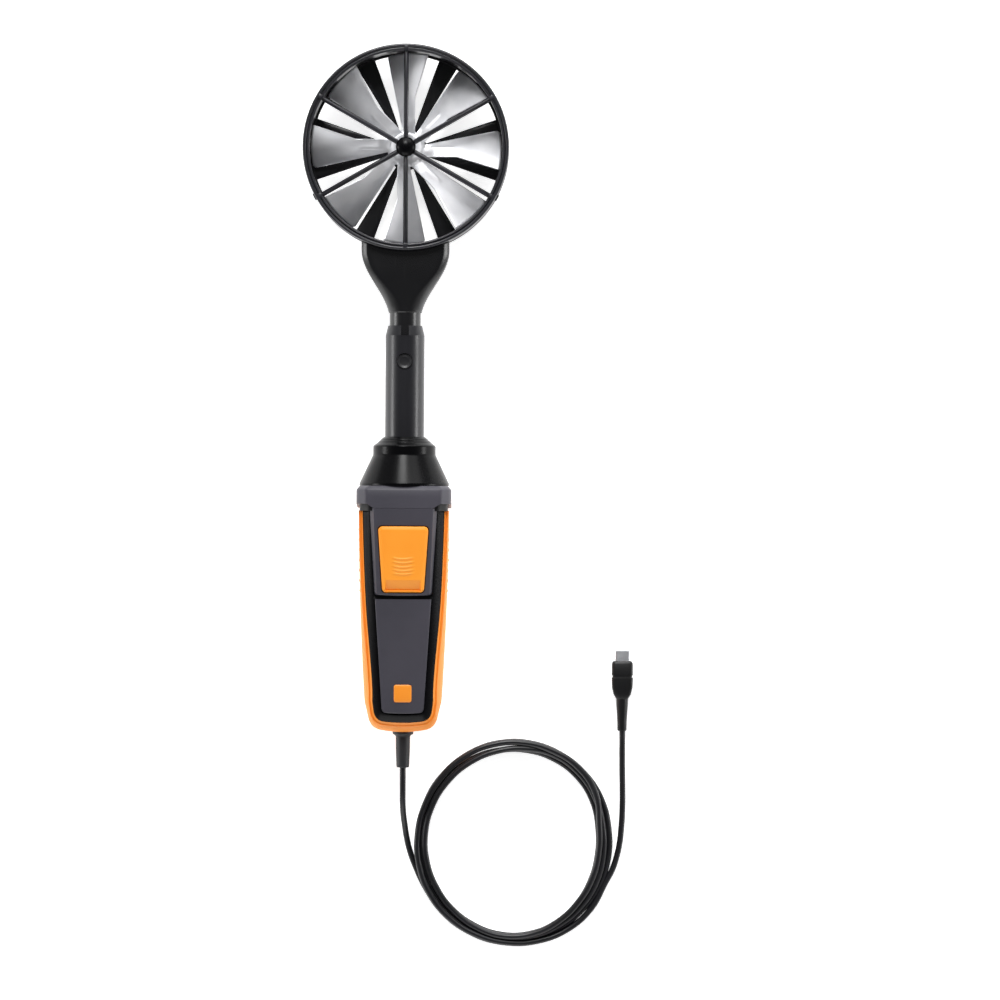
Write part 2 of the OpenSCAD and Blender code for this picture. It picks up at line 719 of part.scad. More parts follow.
// everything behind a plane that lies this far in front of the front face
module behind(rise, low) translate([0, grip_y, grip_depth + rise]) rotate([slope, 0, 0])
    translate([-grip_w, -2 * grip_len, low - 2 * grip_depth]) cube([2 * grip_w, 3 * grip_len, 2 * grip_depth]);

// the button's outline as an upright prism
module button_prism(grow, z0, z1) translate([0, button_y, z0]) linear_extrude(z1 - z0) {
    r = button_r + grow;
    l = button_len / 2 + grow;
    a = button_w / 2 + grow;
    b = (button_w - button_taper) / 2 + grow;
    polygon(concat(
        [for (t = [0:15:90]) [a - r + r * cos(t), l - r + r * sin(t)]],
        [for (t = [90:15:180]) [r - a + r * cos(t), l - r + r * sin(t)]],
        [for (t = [180:15:270]) [r - b + r * cos(t), r - l + r * sin(t)]],
        [for (t = [270:15:360]) [b - r + r * cos(t), r - l + r * sin(t)]]));
}

// underside of the shell at the button, where the button's flange waits
under_shell = face_z(button_at + button_len) - shell_wall - panel_t - 0.5;
flange_low = under_shell - 1.4;
switch_top = board_z + board_t + switch_h;

module measure_button() color("#e8690c") {
    intersection() {
        button_prism(0, flange_low, 2 * grip_depth);
        behind(button_rise, 0);
    }
    button_prism(1.2, flange_low, under_shell);
    translate([0, button_y, switch_top + post_gap]) cylinder(r = 2.6, h = flange_low - switch_top - post_gap + e);
}

module button_spring() color("#b9bcc0") translate([0, button_y, board_z + board_t])
    spring(spring_r, spring_wire, flange_low - board_z - board_t, 6);

module tact_switch() color("#232326") translate([0, button_y, board_z + board_t]) {
    translate([-switch_w / 2, -switch_w / 2, 0]) cube([switch_w, switch_w, switch_h - 0.8]);
    cylinder(r = 1.7, h = switch_h);
}

module circuit_board() color("#1f6b3a") difference() {
    translate([-board_w / 2, board_y - board_len, board_z]) cube([board_w, board_len, board_t]);
    board_posts(board_z - 1, board_z + board_t + 1, 1);
}

module board_parts() color("#232326") {
    for (p = [[-4, 28, 7, 7, 1], [6, 26, 5, 6, 1.2], [-6, 40, 4, 3, 1.5], [4, 39, 3, 3, 1.5]])
        translate([p[0] - p[2] / 2, board_y - p[1], board_z + board_t]) cube([p[2], p[3], p[4]]);
    translate([-5, board_y - board_len + 1, board_z + board_t]) cube([10, 5, 4]);
}

module board_screws() color("#8f9296") translate([0, 0, board_z + board_t]) mirror([0, 0, 1])
    translate([0, 0, -1.2]) for (x = [-1, 1], y = [8, board_len - 6])
        translate([x * (board_w / 2 - 3.2), board_y - y, 0]) screw(0.9, 1.7, 1.2, board_t + 4.5);

module housing_screws() color("#8f9296") for (x = [-1, 1], d = screw_rows)
    translate([x * screw_x(d), grip_y - d, seat_z - 1.5])
        screw(1, 2.4, 1.5, split_z + thread_in - seat_z);

module soft_cover() color("#e8690c") difference() {
    outer_body();
    core_body();
    in_front_of(cover_front);
    translate([-grip_w, grip_y - 0.02, -1]) cube([2 * grip_w, 2, 2 * grip_depth]);
    pillars(-1, 6, 2.7);
    rod(0, foot_y + relief_in, relief_z, relief_neck_r + slip, 2 * relief_in);
}

module badge_block(grow) intersection() {
    translate([0, grip_y - badge_at, 0]) linear_extrude(2 * grip_depth)
        rrect(badge_w + 2 * grow, badge_w + 2 * grow, 2 + grow);
    in_front_of(badge_t - 0.6);
}

module badge() color("#e8690c") intersection() {
    badge_block(0);
    behind(0.6, 0);
}

// ---- cable ----

module strain_relief() color("#18181a") lathe(foot_y, relief_z, [[0, -relief_in], [4.6, -relief_in],
    [4.6, 2 - relief_in], [relief_neck_r, 2 - relief_in], [relief_neck_r, 0], [relief_flange_r, 0],
    [relief_flange_r, relief_flange_t - 0.5], [relief_flange_r - 0.5, relief_flange_t],
    [3.75, relief_flange_t], [3.3, relief_len - 0.5], [2.9, relief_len], [0, relief_len]]);

module cable_clamp() color("#232326") translate([-4.5, foot_y + 20, cover_t + shell_wall])
    cube([9, 5, relief_z - cover_t - shell_wall - cable_r]);

module cable_lead() color("#1b1b1e") sweep(lead, cable_r, ring_sides);

module cable_coil() color("#1b1b1e") translate([coil_x, coil_y, 0]) rotate_extrude()
    translate([coil_d / 2, coil_h / 2]) rrect(coil_w, coil_h, 2.4);

module cable_tail() color("#1b1b1e") sweep(tail, cable_r, ring_sides);

module plug_boot() color("#18181a") translate([plug_x, plug_base, 3.2]) rotate([-90, 0, 0])
    rotate_extrude() polygon([[0, 0], [2, 0], [2.35, 1], [2.95, boot_len], [0, boot_len]]);

// the plug's body in plan, from its tapered rear to the face that carries the metal tip
module plug_plan() {
    y1 = boot_len + taper_len;
    y2 = y1 + notch_len;
    polygon([[-3, boot_len], [3, boot_len], [plug_w / 2 + 0.1, y1], [plug_w / 2 - 0.7, y1 + 0.3],
        [plug_w / 2 - 0.7, y2 - 0.3], [plug_w / 2, y2], [plug_w / 2, y2 + head_len - 1],
        [plug_w / 2 - 1, y2 + head_len], [1 - plug_w / 2, y2 + head_len],
        [-plug_w / 2, y2 + head_len - 1], [-plug_w / 2, y2], [0.7 - plug_w / 2, y2 - 0.3],
        [0.7 - plug_w / 2, y1 + 0.3], [-plug_w / 2 - 0.1, y1]]);
}

module plug_body() color("#18181a") translate([plug_x, plug_base, 0])
    linear_extrude(plug_t) plug_plan();

plug_face = plug_base + boot_len + taper_len + notch_len + head_len;

module plug_shell() color("#b9bcc0") translate([plug_x, plug_face + tip_len, plug_z])
    rotate([90, 0, 0]) linear_extrude(tip_len) difference() {
        rrect(tip_w, tip_t, 0.8);
        rrect(tip_w - 0.8, tip_t - 0.8, 0.5);
    }

module plug_insert() color("#101012") translate([plug_x - 2.4, plug_face, plug_z - 0.6])
    cube([4.8, tip_len - 1, 1.2]);

shroud_ring();
front_guard();
guard_cap();
front_bearing();
impeller_blades();
impeller_hub();
axle();
rear_guard();
rear_bearing();
speed_pickup();
neck_front();
neck_rear();
neck_screws();
stem();
head_board();
head_socket();
latch_button();
latch_spring();
adapter_tube();
tube_seal();
contact_block();
contact_pins();
adapter_cone();
collar();
rear_shell();
front_shell();
soft_cover();
front_panel();
badge();
measure_button();
button_spring();
tact_switch();
circuit_board();
board_parts();
board_screws();
housing_screws();
strain_relief();
cable_clamp();
cable_lead();
cable_coil();
cable_tail();
plug_boot();
plug_body();
plug_shell();
plug_insert();
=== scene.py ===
"""Looks of a handheld vane anemometer probe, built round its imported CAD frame.

The probe lies on its back: +Z is the air axis and +Y runs along the grip towards the vane.
Sizes are in millimetres and become metres when a piece is finished.
"""

import json
import logging
import math
from collections.abc import Callable, Iterable, Sequence
from dataclasses import dataclass, field
from enum import Enum

import bmesh
import bpy
from mathutils import Matrix, Vector


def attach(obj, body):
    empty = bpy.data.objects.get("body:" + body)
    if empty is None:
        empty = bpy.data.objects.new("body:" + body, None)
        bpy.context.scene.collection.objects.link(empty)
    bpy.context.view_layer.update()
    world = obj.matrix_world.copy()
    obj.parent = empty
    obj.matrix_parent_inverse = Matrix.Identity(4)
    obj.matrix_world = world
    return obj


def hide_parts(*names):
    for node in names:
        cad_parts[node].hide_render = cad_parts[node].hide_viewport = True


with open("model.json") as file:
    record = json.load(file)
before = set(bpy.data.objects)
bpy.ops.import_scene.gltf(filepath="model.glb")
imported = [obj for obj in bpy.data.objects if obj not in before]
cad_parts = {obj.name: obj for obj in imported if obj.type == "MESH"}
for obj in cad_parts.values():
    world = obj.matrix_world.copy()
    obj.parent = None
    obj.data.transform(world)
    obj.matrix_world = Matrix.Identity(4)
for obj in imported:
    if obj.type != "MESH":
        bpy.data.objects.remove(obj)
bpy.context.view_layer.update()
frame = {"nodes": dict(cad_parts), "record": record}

MM = 0.001
AXIS_Z = 23.0  # height of the instrument's long axis
log = logging.getLogger("anemometer")

Point = tuple[float, float]
Ring = list[Vector]


class Body(Enum):
    """The bodies that a piece can ride on."""

    PROBE = "probe"
    IMPELLER = "impeller"
    BUTTON = "measure_button"
    LATCH = "latch_button"


class Slot(Enum):
    """The record's material slots."""

    SHROUD = "shroud_black"
    GUARD = "guard_black"
    GLOSS = "gloss_black"
    BRASS = "brass"
    FOIL = "blade_foil"
    HUB = "hub_metal"
    STEEL = "steel"
    SPRING = "spring_steel"
    SENSOR = "sensor_can"
    NECK = "neck_plastic"
    BOARD = "board_green"
    CHIP = "chip_black"
    INNER = "inner_plastic"
    LATCH = "latch_plastic"
    TUBE = "tube_black"
    SEAL = "seal_rubber"
    GOLD = "gold_pins"
    COVER = "orange_soft"
    PANEL = "panel_grey"
    BADGE = "badge_orange"
    BUTTON = "button_orange"
    RELIEF = "relief_rubber"
    JACKET = "cable_jacket"
    PLUG = "plug_plastic"
    PLUG_METAL = "plug_metal"


# ---- shader tools ----


def linear(code: str) -> tuple[float, float, float, float]:
    """Gives a hex colour as linear red, green, blue and alpha.

    Args:
        code: The colour as six hex digits.

    Returns:
        The linear colour.
    """
    parts = [int(code[i : i + 2], 16) / 255 for i in (0, 2, 4)]
    return (*(c / 12.92 if c <= 0.04045 else ((c + 0.055) / 1.055) ** 2.4 for c in parts), 1.0)


class Value:
    """A number that a node gives, with Python's operators for Math nodes."""

    def __init__(self, shader: "Shader", socket: bpy.types.NodeSocket) -> None:
        """Wraps one output socket of a shader's node."""
        self.shader = shader
        self.socket = socket

    def _math(self, operation: str, *inputs: "Value | float") -> "Value":
        """Adds one Math node.

        Args:
            operation: The Math node's operation.
            *inputs: Its inputs in order.

        Returns:
            The node's result.
        """
        values = dict(enumerate(inputs))
        return self.shader.value("ShaderNodeMath", {"operation": operation}, values)

    def __add__(self, other: "Value | float") -> "Value":
        """Adds."""
        return self._math("ADD", self, other)

    def __sub__(self, other: "Value | float") -> "Value":
        """Subtracts."""
        return self._math("SUBTRACT", self, other)

    def __mul__(self, other: "Value | float") -> "Value":
        """Multiplies."""
        return self._math("MULTIPLY", self, other)

    __radd__ = __add__

    def above(self, low: float, high: float) -> "Value":
        """Runs from 0 to 1 as the value goes from low to high.

        Args:
            low: Where the result is 0.
            high: Where the result is 1.

        Returns:
            The smooth step.
        """
        settings = {"interpolation_type": "SMOOTHSTEP"}
        values = {"Value": self, "From Min": low, "From Max": high}
        return self.shader.value("ShaderNodeMapRange", settings, values)


class Shader:
    """One material's node tree and the single method that adds its nodes."""

    def __init__(self, name: str) -> None:
        """Starts an empty material of that name."""
        self.material = bpy.data.materials.new(name)
        self.material.use_nodes = True
        self.tree = self.material.node_tree
        self.tree.nodes.clear()

    def node(self, kind: str, settings: dict | None = None, inputs: dict | None = None) -> bpy.types.Node:
        """Adds a node.

        Args:
            kind: The node's type.
            settings: Its properties.
            inputs: Values, or sockets to link, by input name or number.

        Returns:
            The node.
        """
        made = self.tree.nodes.new(kind)
        for key, setting in (settings or {}).items():
            setattr(made, key, setting)
        for key, given in (inputs or {}).items():
            if isinstance(given, Value):
                given = given.socket
            if isinstance(given, bpy.types.NodeSocket):
                self.tree.links.new(given, made.inputs[key])
            else:
                made.inputs[key].default_value = given
        return made

    def value(self, kind: str, settings: dict | None = None, inputs: dict | None = None) -> Value:
        """Adds a node and wraps its first output."""
        return Value(self, self.node(kind, settings, inputs).outputs[0])

    def place(self, stretch: Sequence[float] = (1, 1, 1), turn: float = 0.0) -> bpy.types.NodeSocket:
        """Gives the point on the piece.

        Args:
            stretch: Scale of the pattern along each axis.
            turn: Turn of the pattern about Z in degrees.

        Returns:
            The coordinate's socket.
        """
        point = self.node("ShaderNodeTexCoord").outputs["Object"]
        inputs = {"Vector": point, "Scale": stretch, "Rotation": (0, 0, math.radians(turn))}
        return self.node("ShaderNodeMapping", None, inputs).outputs[0]

    def noise(self, size: float, detail: float = 2.0, point: bpy.types.NodeSocket | None = None) -> Value:
        """Gives noise from 0 to 1.

        Args:
            size: Size of its features in millimetres.
            detail: Number of octaves.
            point: Where it is read, or None for the point on the piece.

        Returns:
            The noise's value.
        """
        inputs = {"Vector": point or self.place(), "Scale": 1 / (size * MM), "Detail": detail}
        return self.value("ShaderNodeTexNoise", None, inputs)

    def blend(self, amount: Value, low: str, high: str) -> bpy.types.NodeSocket:
        """Mixes two hex colours.

        Args:
            amount: 0 for the first colour, 1 for the second.
            low: The first colour.
            high: The second colour.

        Returns:
            The mixed colour's socket.
        """
        inputs = {0: amount, 6: linear(low), 7: linear(high)}
        return self.node("ShaderNodeMix", {"data_type": "RGBA", "clamp_factor": True}, inputs).outputs[2]

    def bump(self, height: Value, depth: float) -> bpy.types.NodeSocket:
        """Gives a normal from a height.

        Args:
            height: The height from 0 to 1.
            depth: What 1 stands for in millimetres.

        Returns:
            The normal's socket.
        """
        return self.node("ShaderNodeBump", None, {"Height": height, "Distance": depth * MM}).outputs[0]

    def finish(self, constants: dict, **linked: "Value | bpy.types.NodeSocket") -> bpy.types.Material:
        """Adds the surface and its output.

        Args:
            constants: Values of the surface's own sockets.
            **linked: Values and sockets by input name, with _ for a space.

        Returns:
            The finished material.
        """
        inputs = constants | {name.replace("_", " "): given for name, given in linked.items()}
        surface = self.node("ShaderNodeBsdfPrincipled", None, inputs).outputs[0]
        self.node("ShaderNodeOutputMaterial", None, {"Surface": surface})
        return self.material


# ---- finishes ----


@dataclass(frozen=True)
class Moulded:
    """Moulded plastic or rubber: eroded grain, cloudy patches and fine rub marks."""

    colour: str
    shade: str  # the colour in its darker patches
    roughness: float
    grain: float = 0.5  # size of the grain
    depth: float = 0.02  # depth of the grain
    rub: float = 0.08  # how much rub marks change the roughness
    coat: float = 0.0
    specular: float = 0.5

    def make(self, name: str) -> bpy.types.Material:
        """Builds the material of that name."""
        s = Shader(name)
        cloud = s.noise(38.0, 3.0)
        grain = s.noise(self.grain, 2.0)
        rub = s.noise(3.0, 4.0, s.place((1.0, 0.12, 1.0), 12.0)).above(0.58, 0.78)
        colour = s.blend(cloud.above(0.3, 0.7) * 0.7 + grain * 0.3, self.shade, self.colour)
        roughness = self.roughness + (cloud - 0.5) * 0.1 + (grain - 0.5) * 0.08 + rub * self.rub
        constants = {"Coat Weight": self.coat, "Coat Roughness": 0.06, "Specular IOR Level": self.specular}
        return s.finish(constants, Base_Color=colour, Roughness=roughness, Normal=s.bump(grain, self.depth))


@dataclass(frozen=True)
class Metal:
    """Bare metal with a drawn grain and a few dull marks."""

    colour: str
    shade: str
    roughness: float
    grain: tuple[float, float, float] = (1.0, 0.06, 1.0)  # the grain is long where this is small

    def make(self, name: str) -> bpy.types.Material:
        """Builds the material of that name."""
        s = Shader(name)
        drawn = s.noise(0.35, 3.0, s.place(self.grain))
        marks = s.noise(6.0, 4.0).above(0.5, 0.75)
        colour = s.blend(drawn * 0.5 + marks * 0.5, self.colour, self.shade)
        roughness = self.roughness + (drawn - 0.5) * 0.14 + marks * 0.1
        constants = {"Metallic": 1.0}
        return s.finish(constants, Base_Color=colour, Roughness=roughness, Normal=s.bump(drawn, 0.006))


@dataclass(frozen=True)
class Foil:
    """Satin aluminium sheet of the vane, brushed, with a faint milky anodised film."""

    colour: str = "f6f6f8"
    shade: str = "e4e5e9"
    roughness: float = 0.45

    def make(self, name: str) -> bpy.types.Material:
        """Builds the material of that name."""
        s = Shader(name)
        brushed = s.noise(0.3, 3.0, s.place((0.05, 1.0, 1.0), 30.0))
        film = s.noise(14.0, 3.0).above(0.35, 0.7)
        colour = s.blend(film * 0.6 + brushed * 0.4, self.shade, self.colour)
        roughness = self.roughness + (brushed - 0.5) * 0.16 + film * 0.06
        constants = {"Metallic": 0.75, "Specular IOR Level": 0.5}
        return s.finish(constants, Base_Color=colour, Roughness=roughness, Normal=s.bump(brushed, 0.006))


@dataclass(frozen=True)
class Board:
    """Solder-masked circuit board with copper tracks under the mask."""

    def make(self, name: str) -> bpy.types.Material:
        """Builds the material of that name."""
        s = Shader(name)
        inputs = {"Vector": s.place(), "Scale": 260.0, "Mortar Size": 0.03, "Brick Width": 1.4}
        tracks = Value(s, s.node("ShaderNodeTexBrick", None, inputs).outputs["Fac"])
        weave = s.noise(0.6, 2.0)
        colour = s.blend(tracks * 0.8 + weave * 0.2, "145231", "2f8a55")
        constants = {"Coat Weight": 0.3}
        height = tracks * 0.6 + weave * 0.4
        return s.finish(constants, Base_Color=colour, Roughness=0.35 + weave * 0.15, Normal=s.bump(height, 0.03))


@dataclass(frozen=True)
class Paper:
    """The pale floor: near white, with a faint glow so that it stays even."""

    def make(self, name: str) -> bpy.types.Material:
        """Builds the material of that name."""
        s = Shader(name)
        colour = s.blend(s.noise(60.0, 2.0), "f6f6f6", "fbfbfb")
        constants = {"Roughness": 0.9, "Specular IOR Level": 0.1, "Emission Strength": 0.72}
        return s.finish(constants, Base_Color=colour, Emission_Color=colour)


FINISHES: dict[Slot, Moulded | Metal | Foil | Board] = {
    Slot.SHROUD: Moulded("222227", "19191d", 0.34, 0.5, 0.012, 0.06, 0.1, 0.4),
    Slot.GUARD: Moulded("0e0e12", "09090c", 0.34, 0.5, 0.01, 0.05, 0.1, 0.35),
    Slot.GLOSS: Moulded("050507", "030304", 0.26, 1.2, 0.0004, 0.02, 0.0, 0.12),
    Slot.BRASS: Metal("c39a4c", "8d6c2e", 0.28),
    Slot.FOIL: Foil(),
    Slot.HUB: Metal("cfd1d5", "a3a5aa", 0.3),
    Slot.STEEL: Metal("b5b8bc", "85888d", 0.3),
    Slot.SPRING: Metal("a9acb1", "74777c", 0.32),
    Slot.SENSOR: Metal("6a6c71", "4a4c50", 0.36),
    Slot.NECK: Moulded("09090c", "060608", 0.28, 0.5, 0.003, 0.04, 0.0, 0.5),
    Slot.BOARD: Board(),
    Slot.CHIP: Moulded("222225", "17171a", 0.5, 0.3, 0.02),
    Slot.INNER: Moulded("0c0c0e", "070708", 0.55, 0.6, 0.02, 0.05, 0.0, 0.3),
    Slot.LATCH: Moulded("131317", "0e0e11", 0.4, 0.4, 0.012),
    Slot.TUBE: Moulded("17171c", "101014", 0.34, 0.5, 0.01, 0.06, 0.05, 0.45),
    Slot.SEAL: Moulded("161618", "0e0e10", 0.6, 0.4, 0.02),
    Slot.GOLD: Metal("d3ab4a", "a3822f", 0.22),
    Slot.COVER: Moulded("f3942f", "ee8c26", 0.5, 0.28, 0.02, 0.05),
    Slot.PANEL: Moulded("434149", "3a3940", 0.44, 0.42, 0.035, 0.04, 0.0, 0.28),
    Slot.BADGE: Moulded("f0922a", "e8861c", 0.4, 0.8, 0.004, 0.03),
    Slot.BUTTON: Moulded("f59b32", "ef9028", 0.4, 0.35, 0.012, 0.04, 0.0, 0.25),
    Slot.RELIEF: Moulded("1c1c20", "131316", 0.5, 0.35, 0.02),
    Slot.JACKET: Moulded("17171b", "0e0e11", 0.36, 0.4, 0.01, 0.1, 0.0, 0.4),
    Slot.PLUG: Moulded("0c0c0e", "070708", 0.42, 0.35, 0.02, 0.05, 0.0, 0.35),
    Slot.PLUG_METAL: Metal("e6e8ec", "c4c6ca", 0.4),
}


class Paintbox:
    """Makes each finish once and dresses pieces and CAD nodes with it."""

    def __init__(self) -> None:
        """Starts with nothing made."""
        self.made: dict[Slot, bpy.types.Material] = {}

    def of(self, slot: Slot) -> bpy.types.Material:
        """Gives the finish of a slot."""
        if slot not in self.made:
            self.made[slot] = FINISHES[slot].make(slot.value)
        return self.made[slot]

    def dress_frame(self) -> None:
        """Gives every CAD node the finish of its own slot."""
        slots = {part["node"]: part["material_slot"] for part in frame["record"]["subparts"]}
        for node, thing in frame["nodes"].items():
            for holder in thing.material_slots:
                holder.material = self.of(Slot(slots[node]))


PAINT = Paintbox()


# ---- modelling tools ----


def smooth_step(low: float, high: float, x: float) -> float:
    """Runs smoothly from 0 at low to 1 at high."""
    t = min(1.0, max(0.0, (x - low) / (high - low)))
    return t * t * (3 - 2 * t)


def rounded(corners: Sequence[tuple[float, float, float]], closed: bool = False, steps: int = 4) -> list[Point]:
    """Rounds a polyline's corners.

    Args:
        corners: Each corner as x, y and how far its rounding reaches.
        closed: Whether the line goes back to its start.
        steps: Number of pieces in one rounding.

    Returns:
        The line's points.
    """
    out: list[Point] = []
    last = len(corners) - 1
    for i, (x, y, reach) in enumerate(corners):
        here = Vector((x, y))
        if reach <= 0 or (not closed and i in (0, last)):
            out.append((x, y))
            continue
        before, after = (Vector(corners[k][:2]) for k in (i - 1, (i + 1) % len(corners)))
        ends = [here + (p - here).normalized() * min(reach, 0.49 * (p - here).length) for p in (before, after)]
        for k in range(steps + 1):
            t = k / steps
            spot = ends[0].lerp(here, t).lerp(here.lerp(ends[1], t), t)
            out.append((spot.x, spot.y))
    return out


def rounded_box(half_w: float, half_h: float, reach: float, steps: int) -> list[Point]:
    """Gives a closed rectangle about the origin with rounded corners.

    Args:
        half_w: Half its width.
        half_h: Half its height.
        reach: How far each corner's rounding reaches.
        steps: Number of pieces in one rounding.

    Returns:
        The outline's points.
    """
    corners = [(x * half_w, y * half_h, reach) for x, y in ((1, 1), (-1, 1), (-1, -1), (1, -1))]
    return rounded(corners, closed=True, steps=steps)


def spun(profile: Sequence[Point], closed: bool = False, steps: int = 96) -> bmesh.types.BMesh:
    """Spins a profile about Z.

    Args:
        profile: Points as radius and height.
        closed: Whether the profile is a loop that stays off the axis.
        steps: Number of pieces in the turn.

    Returns:
        The spun mesh.
    """
    bm = bmesh.new()
    verts = [bm.verts.new((r, 0.0, h)) for r, h in profile]
    pairs = list(zip(verts, verts[1:])) + ([(verts[-1], verts[0])] if closed else [])
    edges = [bm.edges.new(pair) for pair in pairs]
    bmesh.ops.spin(
        bm, geom=verts + edges, cent=(0, 0, 0), axis=(0, 0, 1), angle=math.tau, steps=steps, use_merge=True
    )
    bmesh.ops.remove_doubles(bm, verts=bm.verts, dist=1e-4)
    bmesh.ops.recalc_face_normals(bm, faces=bm.faces)
    return bm


def grid(columns: int, rows: int, place: Callable[[int, int], Vector]) -> bmesh.types.BMesh:
    """Warps a grid.

    Args:
        columns: Number of faces across.
        rows: Number of faces along.
        place: Gives the point of a column and row.

    Returns:
        The warped mesh, with corners that fall together merged.
    """
    bm = bmesh.new()
    bmesh.ops.create_grid(bm, x_segments=columns, y_segments=rows, size=1.0)
    low = Vector((min(v.co.x for v in bm.verts), min(v.co.y for v in bm.verts)))
    span = Vector((max(v.co.x for v in bm.verts), max(v.co.y for v in bm.verts))) - low
    for v in bm.verts:
        i = round((v.co.x - low.x) / span.x * columns)
        j = round((v.co.y - low.y) / span.y * rows)
        v.co = place(i, j)
    bmesh.ops.remove_doubles(bm, verts=bm.verts, dist=1e-4)
    bmesh.ops.recalc_face_normals(bm, faces=bm.faces)
    return bm


def loft(rings: Sequence[Sequence[Vector]], around: bool = True, caps: bool = True) -> bmesh.types.BMesh:
    """Joins rings of points in order.

    Args:
        rings: Rings with the same number of points each.
        around: Whether each ring is closed.
        caps: Whether open ends are filled.

    Returns:
        The mesh.
    """
    count = len(rings[0])
    columns = count if around else count - 1
    bm = grid(columns, len(rings) - 1, lambda i, j: rings[j][i % count].copy())
    if caps:
        bmesh.ops.holes_fill(bm, edges=[e for e in bm.edges if e.is_boundary], sides=0)
        bmesh.ops.recalc_face_normals(bm, faces=bm.faces)
    return bm


def block(low: Sequence[float], high: Sequence[float], edge: float = 0.0) -> bmesh.types.BMesh:
    """Makes a box with softened edges.

    Args:
        low: Its lowest corner.
        high: Its highest corner.
        edge: Width of the softening.

    Returns:
        The mesh.
    """
    bm = bmesh.new()
    bmesh.ops.create_cube(bm, size=1.0)
    a, b = Vector(low), Vector(high)
    bmesh.ops.scale(bm, vec=b - a, verts=bm.verts)
    bmesh.ops.translate(bm, vec=(a + b) / 2, verts=bm.verts)
    if edge:
        soften(bm, edge)
    return bm


def soften(bm: bmesh.types.BMesh, width: float, angle: float = 30.0) -> None:
    """Bevels the edges that turn by more than an angle."""
    sharp = [e for e in bm.edges if len(e.link_faces) == 2 and e.calc_face_angle(0.0) > math.radians(angle)]
    bmesh.ops.bevel(
        bm,
        geom=sharp,
        offset=width,
        offset_type="OFFSET",
        segments=2,
        profile=0.5,
        affect="EDGES",
        material=-1,
        clamp_overlap=True,
    )


def joined(parts: Iterable[bmesh.types.BMesh]) -> bmesh.types.BMesh:
    """Puts several meshes into one and frees them."""
    whole = bmesh.new()
    for part in parts:
        mesh = bpy.data.meshes.new("part")
        part.to_mesh(mesh)
        part.free()
        whole.from_mesh(mesh)
        bpy.data.meshes.remove(mesh)
    return whole


def moved(
    bm: bmesh.types.BMesh, to: Sequence[float] = (0, 0, 0), turn: float = 0.0, axis: str = "Z"
) -> bmesh.types.BMesh:
    """Turns a mesh about an axis through the origin by degrees, then moves it."""
    bmesh.ops.rotate(bm, cent=(0, 0, 0), matrix=Matrix.Rotation(math.radians(turn), 3, axis), verts=bm.verts)
    bmesh.ops.translate(bm, vec=to, verts=bm.verts)
    return bm


def along_y(bm: bmesh.types.BMesh, y: float, z: float) -> bmesh.types.BMesh:
    """Lays a spun mesh along the instrument, its heights running down from y."""
    return moved(bm, (0.0, y, z), 90.0, "X")


def face_out(bm: bmesh.types.BMesh, outward: Callable[[Vector], Vector]) -> None:
    """Turns a sheet's faces over if they mostly look inwards.

    Args:
        bm: The sheet.
        outward: Gives the outward direction at a place.
    """
    total = sum(f.normal.dot(outward(f.calc_center_median())) * f.calc_area() for f in bm.faces)
    if total < 0:
        bmesh.ops.reverse_faces(bm, faces=bm.faces)


def piece(
    bm: bmesh.types.BMesh,
    name: str,
    slot: Slot,
    stands_for: Sequence[str],
    body: Body = Body.PROBE,
    crease: float = 35.0,
    wall: float = 0.0,
) -> bpy.types.Object:
    """Finishes a mesh as a piece of the object.

    Args:
        bm: The mesh in millimetres; it is freed.
        name: The piece's name.
        slot: Its material slot.
        stands_for: The CAD nodes that it replaces.
        body: The body that it rides on.
        crease: Edges that turn more than this stay sharp.
        wall: Thickness given inwards to an open sheet.

    Returns:
        The piece.
    """
    for face in bm.faces:
        face.smooth = True
    for edge in bm.edges:
        edge.smooth = len(edge.link_faces) != 2 or edge.calc_face_angle(0.0) < math.radians(crease)
    bmesh.ops.scale(bm, vec=(MM, MM, MM), verts=bm.verts)
    mesh = bpy.data.meshes.new(name)
    bm.to_mesh(mesh)
    bm.free()
    made = bpy.data.objects.new(name, mesh)
    bpy.context.scene.collection.objects.link(made)
    mesh.materials.append(PAINT.of(slot))
    if wall:
        shell = made.modifiers.new("wall", "SOLIDIFY")
        shell.thickness, shell.offset, shell.use_even_offset = wall * MM, -1.0, True
    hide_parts(*stands_for)
    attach(made, body.value)
    log.info("%s: %d faces for %s", name, len(mesh.polygons), ", ".join(stands_for))
    return made


# ---- studio ----


@dataclass(frozen=True)
class SoftBox:
    """One square soft light, in metres."""

    name: str
    place: tuple[float, float, float]
    aim: tuple[float, float, float]
    size: float
    power: float

    def build(self) -> None:
        """Adds the light."""
        lamp = bpy.data.lights.new(self.name, "AREA")
        lamp.shape, lamp.size, lamp.energy = "SQUARE", self.size, self.power
        made = bpy.data.objects.new(self.name, lamp)
        made.location = self.place
        made.rotation_euler = (Vector(self.aim) - Vector(self.place)).to_track_quat("-Z", "Y").to_euler()
        bpy.context.scene.collection.objects.link(made)


